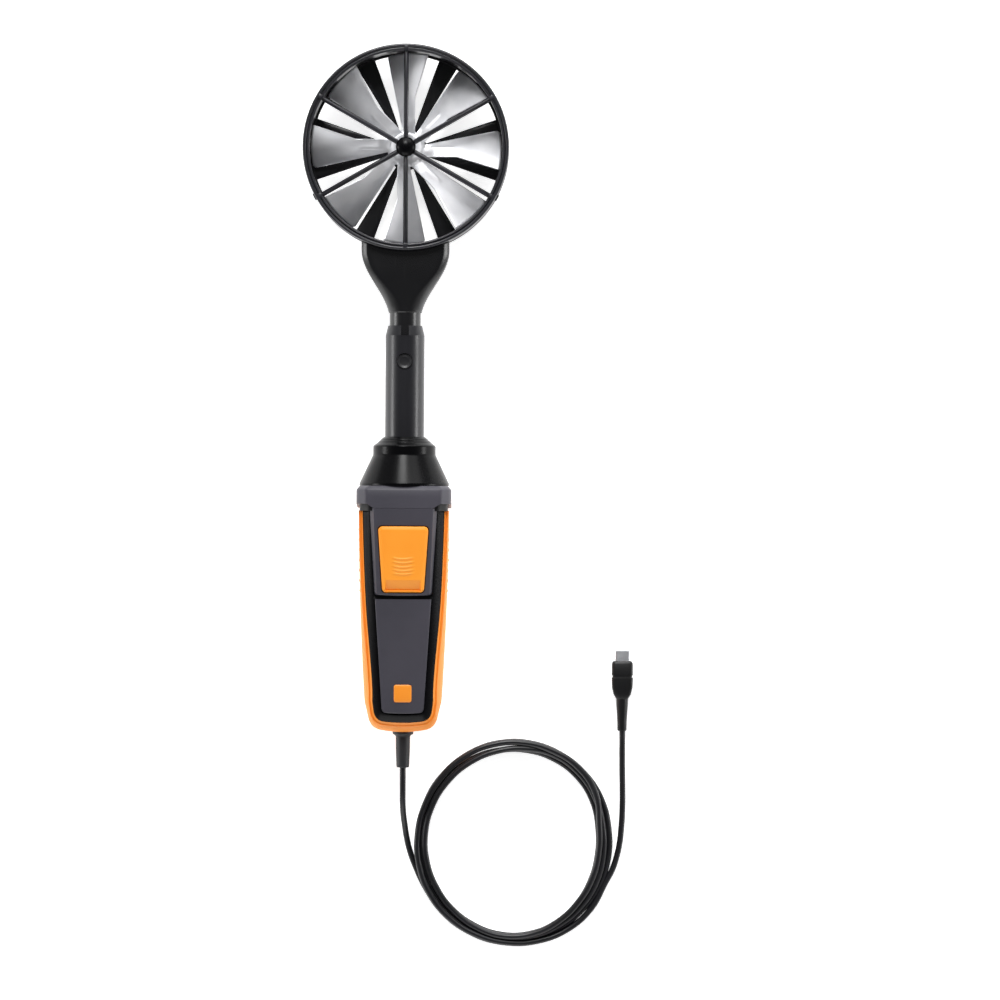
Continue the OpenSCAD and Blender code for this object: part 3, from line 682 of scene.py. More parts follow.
@dataclass
class Studio:
    """Camera, soft lights, even surroundings and a pale floor, in metres."""

    view_width: float = 0.510
    distance: float = 3.0
    centre: tuple[float, float] = (0.0489, -0.0473)
    subject_z: float = 0.023
    roll: float = 0.0060
    sensor: float = 36.0
    floor_side: float = 8.0
    horizon: float = 0.6
    zenith: float = 0.14
    fade: tuple[float, float] = (0.25, 0.95)  # the surroundings dim between these heights of the unit sphere
    boxes: tuple[SoftBox, ...] = (
        SoftBox("key", (-0.1, 1.35, 1.55), (0.0, 0.05, 0.0), 0.6, 30.0),
        SoftBox("far", (0.5, 2.3, 0.7), (0.0, 0.05, 0.0), 2.4, 60.0),
        SoftBox("near", (-0.3, -2.3, 0.6), (0.0, 0.05, 0.0), 2.0, 26.0),
        SoftBox("right", (1.9, 0.0, 0.45), (0.0, 0.0, 0.02), 0.5, 9.0),
        SoftBox("left", (-1.9, 0.0, 0.45), (0.0, 0.0, 0.02), 0.5, 9.0),
    )

    def grade(self, tree: bpy.types.NodeTree) -> None:
        """Makes the surroundings bright near the horizon and dimmer overhead."""
        where = tree.nodes.new("ShaderNodeTexCoord")
        parts = tree.nodes.new("ShaderNodeSeparateXYZ")
        spread = tree.nodes.new("ShaderNodeMapRange")
        spread.interpolation_type = "SMOOTHSTEP"
        limits = {"From Min": self.fade[0], "From Max": self.fade[1], "To Min": self.horizon, "To Max": self.zenith}
        for key, number in limits.items():
            spread.inputs[key].default_value = number
        air = tree.nodes["Background"]
        air.inputs["Color"].default_value = (1.0, 1.0, 1.0, 1.0)
        tree.links.new(where.outputs["Generated"], parts.inputs[0])
        tree.links.new(parts.outputs["Z"], spread.inputs["Value"])
        tree.links.new(spread.outputs[0], air.inputs["Strength"])

    def build(self) -> None:
        """Adds the camera, the lights and the floor."""
        lens = bpy.data.cameras.new("camera")
        lens.sensor_width = self.sensor
        lens.lens = self.sensor * self.distance / self.view_width
        camera = bpy.data.objects.new("camera", lens)
        camera.location = (*self.centre, self.subject_z + self.distance)
        camera.rotation_euler = (0.0, 0.0, self.roll)
        scene = bpy.context.scene
        scene.collection.objects.link(camera)
        scene.camera = camera
        scene.view_settings.view_transform = "Standard"
        world = bpy.data.worlds.new("surroundings")
        world.use_nodes = True
        self.grade(world.node_tree)
        scene.world = world
        for box in self.boxes:
            box.build()
        bm = bmesh.new()
        bmesh.ops.create_grid(bm, x_segments=1, y_segments=1, size=self.floor_side / 2)
        mesh = bpy.data.meshes.new("floor")
        bm.to_mesh(mesh)
        bm.free()
        floor = bpy.data.objects.new("floor", mesh)
        mesh.materials.append(Paper().make("pale_floor"))
        scene.collection.objects.link(floor)


# ---- cable ----

LEAD = [
    (0, -184.3, 15.5),
    (0, -190, 15.5),
    (0, -196, 14.7),
    (0, -202, 12.6),
    (0.3, -208, 9.4),
    (1, -214, 6),
    (2, -220.5, 3.3),
    (3.8, -228, 1.9),
    (6.8, -236, 1.6),
]
TAIL = [
    (104.4, -243, 1.6),
    (107.7, -236.8, 1.6),
    (109.9, -230, 1.6),
    (111.3, -223.5, 1.6),
    (112.2, -215, 1.6),
    (112.7, -205, 1.6),
    (112.7, -195, 1.6),
    (112.5, -185, 1.9),
    (112.4, -177, 2.6),
    (112.4, -171, 3.2),
    (112.4, -165.4, 3.2),
]


@dataclass
class Cable:
    """The cable from the strain relief through its coil to the plug."""

    diameter: float = 3.1
    centre: Point = (57.4, -223.1)
    start_angle: float = 206.0
    end_angle: float = 320.0
    turns: int = 4
    steps: int = 20  # points in one turn
    outer: float = 50.0
    inner: float = 46.7
    middle: float = 48.35
    stretch: float = 1.03  # the coil is a little longer along the grip
    floor_z: float = 1.6
    rise: float = 2.65  # from one layer of strands to the next
    plug_x: float = 112.2
    plug_base: float = -165.4
    plug_z: float = 3.2
    plug_thick: float = 7.4
    boot_len: float = 16.3
    taper_len: float = 11.0
    notch_len: float = 1.2
    head_len: float = 7.4
    tip_len: float = 5.3
    tip_half: Point = (3.7, 1.7)
    tip_wall: float = 0.4
    tuck: float = 1.5  # how far the strands step in beside the tail
    swing: float = 1.2  # how far the cable's ends stand outside the coil
    change_span: float = 22.0  # a strand changes place within this many degrees each way

    def strand(self, turned: float) -> Point:
        """Gives a strand's radius and height.

        Args:
            turned: Degrees turned since the coil's start.

        Returns:
            The radius and the height.
        """
        stack = [
            (self.outer, self.floor_z),
            (self.inner, self.floor_z),
            (self.middle, self.floor_z + self.rise),
            (self.inner, self.floor_z + 2 * self.rise),
            (self.outer, self.floor_z + 2 * self.rise),
        ]
        r, z = stack[0]
        for k in range(1, len(stack)):
            change = 360.0 * k - 30.0 - 50.0 * (k - 1)
            t = smooth_step(change - self.change_span, change + self.change_span, turned)
            r += (stack[k][0] - stack[k - 1][0]) * t
            z += (stack[k][1] - stack[k - 1][1]) * t
        return r, z

    def route(self) -> list[Vector]:
        """Gives the cable's whole route in millimetres."""
        points = [Vector(p) for p in LEAD]
        total = 360.0 * self.turns + self.end_angle - self.start_angle
        count = round(total / 360 * self.steps)
        cx, cy = self.centre
        for i in range(count + 1):
            turned = total * i / count
            angle = math.radians(self.start_angle + turned)
            r, z = self.strand(turned)
            place = (self.start_angle + turned) % 360
            tuck = self.tuck * (smooth_step(250, 320, place) + 1 - smooth_step(0, 40, place))
            deep = (self.outer - r) / (self.outer - self.inner)
            r -= deep * (1.4 + 0.5 * math.cos(angle)) * math.cos(angle) ** 2
            drop = smooth_step(total - 75, total - 4, turned)
            r += drop * (self.swing + tuck) - tuck
            z += drop * (self.floor_z + 0.2 - z)
            r += self.swing * (1 - smooth_step(0, 45, turned))
            r += 0.25 * math.sin(3 * angle + turned * 0.011)
            points.append(Vector((cx + r * math.cos(angle), cy + r * self.stretch * math.sin(angle), z)))
        return points + [Vector(p) for p in TAIL]

    def build_plug(self) -> list[bpy.types.Object]:
        """Builds the boot, body, metal tip and insert."""
        end = self.boot_len + 0.4
        line = [(0, 0, 0), (2.4, 0, 0.5), (2.5, 6.0, 2.0), (3.0, 13.0, 2.0), (3.1, end, 0), (0, end, 0)]
        boot = moved(spun(rounded(line), steps=32), (self.plug_x, self.plug_base, self.plug_z), -90.0, "X")
        made = [piece(boot, "plug_boot_smooth", Slot.PLUG, ["plug_boot"])]
        base = self.plug_base + self.boot_len
        notch = self.taper_len + self.notch_len
        stations = [(0, 3.0, 2.9), (0.5, 3.3, 3.2), (2.5, 4.5, 3.5), (6, 5.3, 3.7), (self.taper_len - 0.5, 5.5, 3.7)]
        stations += [(self.taper_len, 5.4, 3.7), (self.taper_len + 0.15, 5.05, 3.68), (notch - 0.15, 5.05, 3.68)]
        stations += [(notch, 5.3, 3.7), (notch + 0.5, 5.4, 3.7), (notch + self.head_len - 1.4, 5.4, 3.7)]
        stations += [(notch + self.head_len - 0.3, 4.9, 3.3), (notch + self.head_len, 4.2, 2.8)]
        rings = []
        mid = self.plug_thick / 2
        for at, half_w, half_t in stations:
            line = rounded_box(half_w, half_t, 1.9, 5)
            height = self.plug_z + (mid - self.plug_z) * smooth_step(0, 6, at)
            rings.append([Vector((self.plug_x + x, base + at, height + z)) for x, z in line])
        made.append(piece(loft(rings), "plug_body_moulded", Slot.PLUG, ["plug_body"], crease=50))
        face = base + notch + self.head_len
        (half_w, half_t), wall, end = self.tip_half, self.tip_wall, self.tip_len
        tube = []
        for at, inset in ((-0.5, 0), (end - 0.15, 0), (end, 0.12), (end, wall), (0, wall)):
            line = rounded_box(half_w - inset, half_t - inset, 0.8, 4)
            tube.append([Vector((self.plug_x + x, face + at, mid + z)) for x, z in line])
        made.append(piece(loft(tube), "plug_tip", Slot.PLUG_METAL, ["plug_shell"]))
        x = self.plug_x
        tongue = block((x - 2.4, face - 0.4, mid - 0.6), (x + 2.4, face + end - 1, mid + 0.6), 0.15)
        made.append(piece(tongue, "plug_tongue", Slot.INNER, ["plug_insert"]))
        return made

    def build(self) -> None:
        plug = self.build_plug()
        points = [p * MM for p in self.route()]
        line = bpy.data.curves.new("cable", "CURVE")
        line.dimensions, line.bevel_depth, line.bevel_resolution = "3D", self.diameter / 2 * MM, 4
        line.use_fill_caps, line.resolution_u = True, 5
        spline = line.splines.new("BEZIER")
        spline.bezier_points.add(len(points) - 1)
        for knot, p in zip(spline.bezier_points, points):
            knot.co = p
            knot.handle_left_type = knot.handle_right_type = "AUTO"
        cable = bpy.data.objects.new("cable", line)
        bpy.context.scene.collection.objects.link(cable)
        line.materials.append(PAINT.of(Slot.JACKET))
        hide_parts("cable_lead", "cable_coil", "cable_tail")
        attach(cable, Body.PROBE.value)
        length = sum((b - a).length for a, b in zip(points, points[1:]))
        log.info("cable: %.3f m long", length)


# ---- vane head ----


@dataclass
class VaneHead:
    """Shroud, guards, impeller and neck; heights are from the ring's middle plane."""

    centre_y: float = 131.8
    half: float = 14.5
    outer_r: float = 52.5
    duct_r: float = 49.4
    rim_r: float = 50.6
    tip_r: float = 48.6
    root_r: float = 8.0
    blades: int = 8
    pitch: float = 38.0
    blade_t: float = 0.5
    mid_z: float = -1.0
    kink_r: float = 26.0
    kink_w: float = 4.3
    back_edge: float = 11.9
    front_edge: float = 13.1
    spokes: int = 6
    spoke_z: float = 9.4
    arms: int = 14
    arm_z: float = -13.9
    arm_t: float = 2.5
    arm_half: float = 6.0  # half an arm's angle
    hub_r: float = 10.5
    neck_w: float = 44.4
    neck_half_depth: float = 9.5
    neck_end: float = 84.0
    neck_wall: float = 2.2
    neck_bevel: tuple[float, float] = (2.9, 2.5)  # width and depth of the neck's bevelled edges
    stem_r: float = 8.0
    lug_angle: float = 28.5

    def set_in_place(self, bm: bmesh.types.BMesh) -> bmesh.types.BMesh:
        """Moves a mesh from the ring's own frame to its place."""
        return moved(bm, (0.0, self.centre_y, AXIS_Z))

    def build_shroud(self) -> None:
        """Builds the shroud with its two beaded edges and the lugs."""
        r, duct, half = self.outer_r, self.duct_r, self.half
        line = [(duct, -half, 0.6), (r, -half, 1.3), (r, -10.6, 0.4), (r - 0.35, -10.0, 0.4), (r - 0.35, 9.4, 0.4)]
        line += [(r, 10.0, 0.4), (r, half, 1.25), (self.rim_r + 0.1, half, 0.9), (self.rim_r + 0.1, 8.7, 0.1)]
        line += [(duct, 8.7, 0.1)]
        parts = [spun(rounded(line, closed=True, steps=5), closed=True, steps=160)]
        for angle in (-self.lug_angle, 180 + self.lug_angle):
            parts.append(moved(block((r - 0.8, -1.8, 0.2), (r + 0.75, 1.8, 3.8), 0.5), turn=angle))
        piece(self.set_in_place(joined(parts)), "shroud", Slot.SHROUD, ["shroud_ring"])

    def build_front_guard(self) -> None:
        """Builds the front guard's rim, ridged spokes and boss, and the glossy dome on it."""
        top = self.half - 0.7
        rim = [(49.0, 8.85, 0.3), (self.rim_r, 8.85, 0.1), (self.rim_r, top, 0.6), (49.0, top, 0.8)]
        parts = [spun(rounded(rim, closed=True), closed=True, steps=160)]
        section = [(-1.2, self.spoke_z), (1.2, self.spoke_z), (1.2, 11.8), (0.45, 13.2), (-0.45, 13.2), (-1.2, 11.8)]
        for i in range(self.spokes):
            bar = loft([[Vector((x, y, z)) for y, z in section] for x in (3.9, 49.6)])
            soften(bar, 0.18)
            foot = block((48.9, -1.15, 12.6), (51.5, 1.15, self.half + 0.05), 0.3)
            parts += [moved(part, turn=90 + i * 360 / self.spokes) for part in (bar, foot)]
        boss = [(0, 9.4, 0), (2.3, 9.4, 0), (2.3, 5.9, 0), (4.5, 5.9, 0.4), (4.7, 13.2, 0.3), (0, 13.2, 0)]
        parts.append(spun(rounded(boss), steps=48))
        piece(self.set_in_place(joined(parts)), "front_guard_spokes", Slot.SHROUD, ["front_guard"])
        base = 13.3
        arc = [(5.1 * math.cos(a), base + 3.3 * math.sin(a)) for a in (math.radians(k) for k in range(0, 91, 6))]
        dome = spun([(0, base - 0.5), (4.8, base - 0.5), (5.1, base - 0.25)] + arc, steps=64)
        piece(self.set_in_place(dome), "guard_dome", Slot.GLOSS, ["guard_cap"])

    def blade_point(self, u: float, v: float) -> Vector:
        """Gives a point of one blade.

        Args:
            u: 0 at the root and 1 at the tip.
            v: 0 at the forward edge and 1 at the rear edge.

        Returns:
            The point, with the blade's middle line along X.
        """
        r = self.root_r + (self.tip_r - self.root_r) * u
        flare = max(0.0, (r - self.kink_r) / (self.tip_r - self.kink_r))
        low = -self.kink_w - (self.tip_r * math.sin(math.radians(self.front_edge)) - self.kink_w) * flare
        high = r * math.sin(math.radians(self.back_edge))
        corner = max(0.0, (r - self.tip_r + 1.6) / 1.6)
        high -= 1.4 * (1 - math.sqrt(max(0.0, 1 - corner * corner)))
        y = low + (high - low) * v
        lean = math.radians(self.pitch)
        ease = smooth_step(8.2, 15.5, r)
        camber = 0.5 * math.sin(math.pi * v) * ease
        bead = 0.42 * math.exp(-(((y - 0.2) / 0.75) ** 2)) * smooth_step(11.5, 13.5, r) * (1 - smooth_step(22.5, 25, r))
        z = -y * math.tan(lean) * ease + (camber + bead) * math.cos(lean)
        x = math.sqrt(max(0.0, r * r - y * y))
        return Vector((x, y + (camber + bead) * math.sin(lean) * ease, self.mid_z + z))

    def build_impeller(self) -> None:
        """Builds the sheet impeller: centre disc and embossed blades."""
        parts = [spun([(3.65, self.mid_z), (7.0, self.mid_z), (9.7, self.mid_z)], steps=72)]
        columns, rows = 40, 28  # faces along and across a blade
        for i in range(self.blades):
            blade = grid(columns, rows, lambda a, b: self.blade_point(a / columns, b / rows))
            parts.append(moved(blade, turn=i * 360 / self.blades))
        whole = joined(parts)
        for face in whole.faces:
            if face.normal.z < 0:
                face.normal_flip()
        piece(
            self.set_in_place(whole), "impeller_sheet", Slot.FOIL, ["impeller_blades"], Body.IMPELLER, 30, self.blade_t
        )

    def arm(self) -> bmesh.types.BMesh:
        """Builds one rear arm along X: flat at the rim, falling away towards the hub."""
        rings = []
        for r in (9.4, 11, 13, 16, 19, 22, 24, 26, 28, 29.5, 31, 32.5, 34, 38, 43, 48.9):
            w = r * math.sin(math.radians(self.arm_half))
            base, top = self.arm_z + 0.1, self.arm_z + self.arm_t - 0.1
            ring = [(-w + 0.25, base), (w - 0.25, base), (w, base + 0.3)]
            ring += [(w * k, 0.0) for k in (1.0, 0.82, 0.5, 0.0, -0.5, -0.82, -1.0)]
            ring += [(-w, base + 0.3)]
            points = []
            for k, (y, z) in enumerate(ring):
                if 3 <= k <= 9:
                    edge = 0.45 if abs(y) > 0.95 * w else (0.1 if abs(y) > 0.8 * w else 0.0)
                    fall = 0.075 * max(0.0, 31.5 + 4.0 * y / w - r)
                    z = top - edge - fall
                points.append(Vector((r, y, z)))
            rings.append(points)
        return loft(rings)

    def build_rear_guard(self) -> None:
        """Builds the rear guard's rim, arms and hub."""
        low, high = self.arm_z, self.arm_z + self.arm_t
        rim = [(48.2, low, 0.4), (self.duct_r, low, 0.1), (self.duct_r, high, 0.1), (48.2, high, 0.6)]
        parts = [spun(rounded(rim, closed=True), closed=True, steps=144)]
        hub = [(0, low, 0), (self.hub_r, low, 0.5), (self.hub_r, high, 0.7), (5.2, high, 0.6), (4.5, -7.9, 0.4)]
        hub += [(2.3, -7.9, 0.1), (2.3, -11.3, 0.1), (0, -11.3, 0)]
        parts.append(spun(rounded(hub), steps=72))
        parts += [moved(self.arm(), turn=90 + i * 360 / self.arms) for i in range(self.arms)]
        piece(self.set_in_place(joined(parts)), "rear_guard_arms", Slot.GUARD, ["rear_guard"])

    def neck_at(self, down: float) -> tuple[float, float, float]:
        """Gives the neck's half width, half depth and share of roundness at a distance below the ring's centre."""
        u = min(1.0, max(0.0, (down - self.outer_r + 0.5) / (self.neck_end + 4 - self.outer_r + 0.5)))
        wide = self.stem_r + (self.neck_w / 2 - self.stem_r + 0.1) * (1 + math.cos(math.pi * u)) / 2
        t = smooth_step(self.outer_r + 8, self.neck_end, down)
        deep = self.neck_half_depth + (self.stem_r - self.neck_half_depth) * t
        return wide, deep, t

    def build_neck(self) -> None:
        """Builds the two half shells that run from the ring to the stem."""
        rings = []
        steps, arc, across = 30, 8, 10
        for i in range(steps + 1):
            ring = []
            count = 2 * (arc + 2) + across
            for k in range(count + 1):
                down = self.outer_r
                for _ in range(3):
                    wide, deep, t = self.neck_at(down)
                    side, top = (edge + (self.stem_r - edge) * t for edge in self.neck_bevel)
                    side, top, power = min(side, wide), min(top, deep), 1.75 - 0.75 * t
                    share = (k - arc - 1) / (count - 2 * arc - 2)
                    if k in (0, count):
                        x, z = wide * (1 if k == 0 else -1), 0.0
                    elif arc + 1 < k < count - arc - 1:
                        x, z = (wide - side) * (1 - 2 * share), deep
                    else:
                        a = math.pi / 2 * (min(k, count - k) - 1) / arc
                        x = (wide - side + side * max(0.0, math.cos(a)) ** power) * (1 if share < 0.5 else -1)
                        z = deep - top + top * math.sin(a) ** power
                    across_ring = x / wide * self.neck_w / 2
                    first = math.sqrt((self.outer_r - 0.4) ** 2 - across_ring**2)
                    down = first + (self.neck_end - first) * i / steps
                ring.append(Vector((x, -down, z + 0.12)))
            rings.append(ring)
        for name, node, flip in (("neck_front_shell", "neck_front", 1), ("neck_rear_shell", "neck_rear", -1)):
            bm = loft([[Vector((p.x, p.y, p.z * flip)) for p in ring] for ring in rings], around=False, caps=False)
            face_out(bm, lambda p: Vector((0.0, 0.0, flip)))
            piece(self.set_in_place(bm), name, Slot.NECK, [node], crease=50, wall=self.neck_wall)

    def build(self) -> None:
        """Builds the whole head."""
        self.build_shroud()
        self.build_front_guard()
        self.build_impeller()
        self.build_rear_guard()
        self.build_neck()


# ---- adapter ----


@dataclass
class Adapter:
    """Latch button, cone and collar; distances run down from each part's upper end."""

    latch_y: float = 22.9
    latch_r: float = 4.05
    latch_top: float = 32.1
    flange_z: float = 26.3
    cone_y: float = -15.4
    tube_r: float = 9.97
    band_r: float = 16.0
    cone_r: float = 22.9
    cone_len: float = 25.0
    collar_y: float = -40.4
    collar_len: float = 11.3
    collar_half: float = 24.1
    collar_front: float = 46.0
    facet_half: float = 19.2  # the collar's front facet
    notch_half: float = 17.6  # the notches start here

    def build_latch(self) -> None:
        """Builds the dished latch button."""
        r, top, low = self.latch_r, self.latch_top, self.flange_z
        line = [(0, low, 0), (r + 0.75, low, 0.1), (r + 0.75, low + 1, 0.1), (r, low + 1, 0.1), (r, top, 0.5)]
        line += [(r - 1.0, top - 0.05, 0.5), (r - 1.6, top - 0.45, 0.6), (0, top - 0.6, 0)]
        button = moved(spun(rounded(line), steps=48), (0.0, self.latch_y, 0.0))
        piece(button, "latch_button_dished", Slot.LATCH, ["latch_button"], Body.LATCH)

    def build_cone(self) -> None:
        """Builds the glossy cone with its stepped bevel and band."""
        line = [(self.tube_r, 0.1, 0), (10.5, 0.0, 0.2), (12.0, 1.25, 0.1), (12.1, 1.5, 0.1), (13.5, 2.65, 0.1)]
        line += [(13.6, 2.9, 0.1), (15.3, 4.1, 0.3), (self.band_r, 4.7, 0.5), (self.band_r, 9.2, 0.6)]
        line += [(self.cone_r - 0.35, self.cone_len - 1.9, 0.5), (self.cone_r, self.cone_len - 1.2, 0.3)]
        line += [(self.cone_r, self.cone_len, 0.1), (19.8, self.cone_len, 0.1), (13.0, 12.0, 0.1)]
        line += [(self.tube_r, 12.0, 0)]
        cone = spun(rounded(line, closed=True, steps=4), closed=True, steps=128)
        piece(along_y(cone, self.cone_y, AXIS_Z), "adapter_cone_bevelled", Slot.GLOSS, ["adapter_cone"], crease=22)

    def collar_ring(self, inset: float, down: float, notch: float) -> Ring:
        """Gives one outline of the collar.

        Args:
            inset: How far it is inside the widest outline.
            down: Distance below the collar's top.
            notch: How far it draws back towards the head at the front corners.

        Returns:
            The outline's points.
        """
        half, front, facet = self.collar_half, self.collar_front, self.facet_half
        line = [(facet * k / 5, front - 0.9 * (k / 5) ** 2, 0) for k in range(5)]
        line += [(facet, front - 0.9, 1.2), (half, front - 7.5, 3.0), (half, 0, 13.0), (0, 0, 0)]
        right = rounded(line, steps=8)
        scale = (1 - inset / half, 1 - inset / AXIS_Z)
        points = right + [(-x, z) for x, z in reversed(right[1:-1])]
        ring = []
        for x, z in points:
            lift = notch * smooth_step(self.notch_half - 1.2, self.notch_half + 1.0, abs(x)) * smooth_step(12, 22, z)
            ring.append(Vector((x * scale[0], self.collar_y - down + lift, AXIS_Z + (z - AXIS_Z) * scale[1])))
        return ring

    def build_collar(self) -> None:
        """Builds the collar with its chamfered top and the notches at its lower front corners."""
        end = self.collar_len
        stations = [(4.5, 0.0, 0), (1.9, 0.0, 0), (1.6, 0.15, 0), (0.25, 1.7, 0), (0.0, 2.3, 0), (0.0, 6.0, 0)]
        stations += [(0.0, end - 1.6, 1.2), (0.0, end - 0.05, 2.2), (0.1, end + 0.05, 2.2), (3.6, end + 0.05, 2.2)]
        rings = [self.collar_ring(*station) for station in stations]
        piece(loft(rings), "collar_faceted", Slot.PANEL, ["collar"], crease=28)
        liner = loft([self.collar_ring(1.7, end - 4, 0), self.collar_ring(1.7, end + 1.45, 0)])
        piece(liner, "collar_liner", Slot.INNER, ["front_shell"])

    def build(self) -> None:
        """Builds the whole adapter."""
        self.build_latch()
        self.build_cone()
        self.build_collar()


# ---- grip ----


@dataclass
class Grip:
    """Cover, frame, panels, button, badge and strain relief; d is the distance below the collar."""

    top_y: float = -51.7
    length: float = 114.3
    width: float = 45.9
    taper: float = 8.5
    depth: float = 44.0
    fall: float = 13.0
    toe_from: float = 98.5  # the sides draw in below this
    toe_slope: float = 0.178
    back_r: float = 12.0
    start: float = 1.3  # the cover and the frame begin here
    lip_end: float = 109.4
    panel_half: float = 17.2
    step_half: float = 14.8
    step_d: float = 43.7
    low_half: float = 14.5
    low_end_half: float = 10.7
    low_end: float = 104.6
    panel_top: float = 46.0
    panel_drop: float = 0.131
    button_at: float = 9.3
    button_len: float = 33.7
    button_w: float = 25.7
    button_taper: float = 4.6
    button_gap: float = 0.35
    button_r: float = 2.4
    badge_w: float = 9.0
    badge_at: float = 94.3
    relief_z: float = 15.5
    relief_len: float = 18.3
    core_z: float = 20.0  # the cover's faces look away from this height
    smiles: tuple[float, ...] = (25.3, 27.3, 29.4, 31.3, 33.1)  # the button's ridges
    sides: list[float] = field(init=False)  # stations down the sides

    def __post_init__(self) -> None:
        """Sets the stations, close together where the ridges are."""
        close = [9.0 + 0.5 * k for k in range(71)]
        self.sides = [self.start, 2.5, 4.0, 6.0, 8.0] + close + [46.5 + 3.3 * k for k in range(16)]

    def half(self, d: float) -> float:
        """Gives the grip's half width."""
        own = (self.width - self.taper * (max(0.0, d) / self.length) ** 1.75) / 2
        return own - self.toe_slope * max(0.0, d - self.toe_from)

    def face(self, d: float) -> float:
        """Gives the height of the grip's front."""
        return self.depth - self.fall * d / self.length

    def panel_half_at(self, d: float) -> float:
        """Gives the half width of the panel's recess."""
        if d < self.step_d:
            return self.panel_half + (self.step_half - self.panel_half) * d / self.step_d
        share = (d - self.step_d) / (self.low_end - self.step_d)
        return self.low_half + 0.15 + (self.low_end_half - self.low_half) * share

    def lip_at(self, d: float) -> float:
        """Gives how far the cover's lip is inside its outline."""
        return 2.1 + 0.75 * min(1.0, d / 44) + 1.65 * smooth_step(40, 90, d) - 1.2 * smooth_step(92, 110, d)

    def edge_r(self, d: float) -> float:
        """Gives the radius of the rounded front edge."""
        return min(15.0, 0.6 * self.half(d))

    def drop(self, inset: float, d: float) -> float:
        """Gives how far the rounded front edge is behind the front, this far inside the outline."""
        r = self.edge_r(d)
        away = max(0.0, min(r, r - inset))
        return r - math.sqrt(r * r - away * away)

    def trough(
        self,
        half: Callable[[float], float],
        height: Callable[[float, float], float],
        end: float,
        corner: float,
        bow: float,
        start: float = 0.0,
    ) -> Ring:
        """Gives one U-shaped line: down the left side, round the foot and up the right side.

        Args:
            half: Half width at a distance.
            height: Height at an x and a distance.
            end: Where the line ends at the middle of the foot.
            corner: Reach of the rounding at the foot's corners.
            bow: How much the foot bulges.
            start: Where the sides begin.

        Returns:
            The line's points.
        """
        wide = half(end)
        turn = end - bow
        side = [max(start, d) for d in self.sides]
        last = side[-1]
        ease = turn - corner
        side += [last + (ease - last) * k / 4 for k in range(1, 4)]
        line = [(half(d), d) for d in side]
        a, knee = Vector((half(ease), ease)), Vector((wide, turn))
        near = max(0.0, wide - corner)
        b = Vector((near, end - bow * (near / wide) ** 2)) if wide > 0 else Vector((0.0, end))
        for k in range(9):
            t = k / 8
            spot = a.lerp(knee, t).lerp(knee.lerp(b, t), t)
            line.append((max(0.0, spot.x), spot.y))
        for k in range(1, 9):
            x = near * (1 - k / 8)
            line.append((x, end - bow * (x / wide) ** 2 if wide > 0 else end))
        whole = [(-x, d) for x, d in line] + list(reversed(line[:-1]))
        return [Vector((x, self.top_y - d, height(x, d))) for x, d in whole]

    def build_cover(self) -> None:
        """Builds the soft cover: back, sides with small ridges, and the lip round the frame."""
        rings = [self.trough(lambda d: 0.0, lambda x, d: 0.0, 100.0, 0.0, 0.0)]
        rings.append(self.trough(lambda d: self.half(d) - 13.0, lambda x, d: 0.0, 106.6, 3.0, 1.5))
        for k in range(8):
            a = math.pi / 2 * k / 7
            inset, z = self.back_r * (1 - math.sin(a)), self.back_r * (1 - math.cos(a))
            narrow = inset + 0.35 * (1 - z / self.back_r)
            end = self.length - inset * 0.55
            rings.append(self.trough(lambda d: self.half(d) - narrow, lambda x, d: z, end, 4.0, 2.0))
        for share in (0.15, 0.3, 0.45, 0.6, 0.75, 0.88, 0.97):

            def side(d: float, s: float = share) -> float:
                """Gives the half width with the side's ridges."""
                ridge = sum(math.exp(-(((d - 11.0 - 5.2 * n) / 0.75) ** 2)) for n in range(7))
                return self.half(d) + 0.42 * ridge * smooth_step(0.2, 0.35, s) * (1 - smooth_step(0.8, 0.95, s))

            def level(x: float, d: float, s: float = share) -> float:
                """Gives the height between the two rounded edges."""
                return self.back_r + (self.face(d) - self.edge_r(d) - self.back_r) * s

            rings.append(self.trough(side, level, self.length, 4.2, 2.0))
        for share in (0.01, 0.04, 0.09, 0.16, 0.25, 0.36, 0.5, 0.65, 0.8, 0.9, 0.97, 0.985):
            rings.append(self.lip_ring(share, 0.0))
        rings += [self.lip_ring(1.0, 0.08), self.lip_ring(1.015, 0.35), self.lip_ring(1.03, 1.6)]
        bm = loft(rings, around=False, caps=False)
        face_out(bm, lambda p: Vector((p.x, 0.0, p.z - self.core_z)).normalized())
        piece(bm, "cover_soft", Slot.COVER, ["soft_cover"], crease=30, wall=1.9)

    def lip_ring(self, share: float, sink: float) -> Ring:
        """Gives a line on the rounded front edge.

        Args:
            share: 0 at the widest outline and 1 at the cover's lip.
            sink: How far it is behind the surface.

        Returns:
            The line's points.
        """
        return self.trough(
            lambda d: self.half(d) - self.lip_at(d) * share,
            lambda x, d: self.face(d) - self.drop(self.lip_at(d) * share, d) - sink,
            self.length + (self.lip_end - self.length) * share,
            4.2 - 0.2 * share,
            2.0 - 0.8 * share,
        )

    def frame_ring(self, share: float, sink: float, inside: float = 0.0) -> Ring:
        """Gives a line on the gloss frame.

        Args:
            share: 0 at the cover's lip and 1 at the panel's recess.
            sink: How far it is behind the surface.
            inside: How far it is moved towards the middle.

        Returns:
            The line's points.
        """

        def half(d: float) -> float:
            """Gives the line's half width."""
            outer = self.half(d) - self.lip_at(d)
            return outer + (self.panel_half_at(d) - outer) * share - inside

        return self.trough(
            half,
            lambda x, d: self.face(d) - self.drop(self.half(d) - half(d) - inside, d) - sink,
            self.lip_end + (self.low_end + 0.6 - self.lip_end) * share - inside,
            4.0 - 1.0 * share,
            1.2 - 0.5 * share,
        )

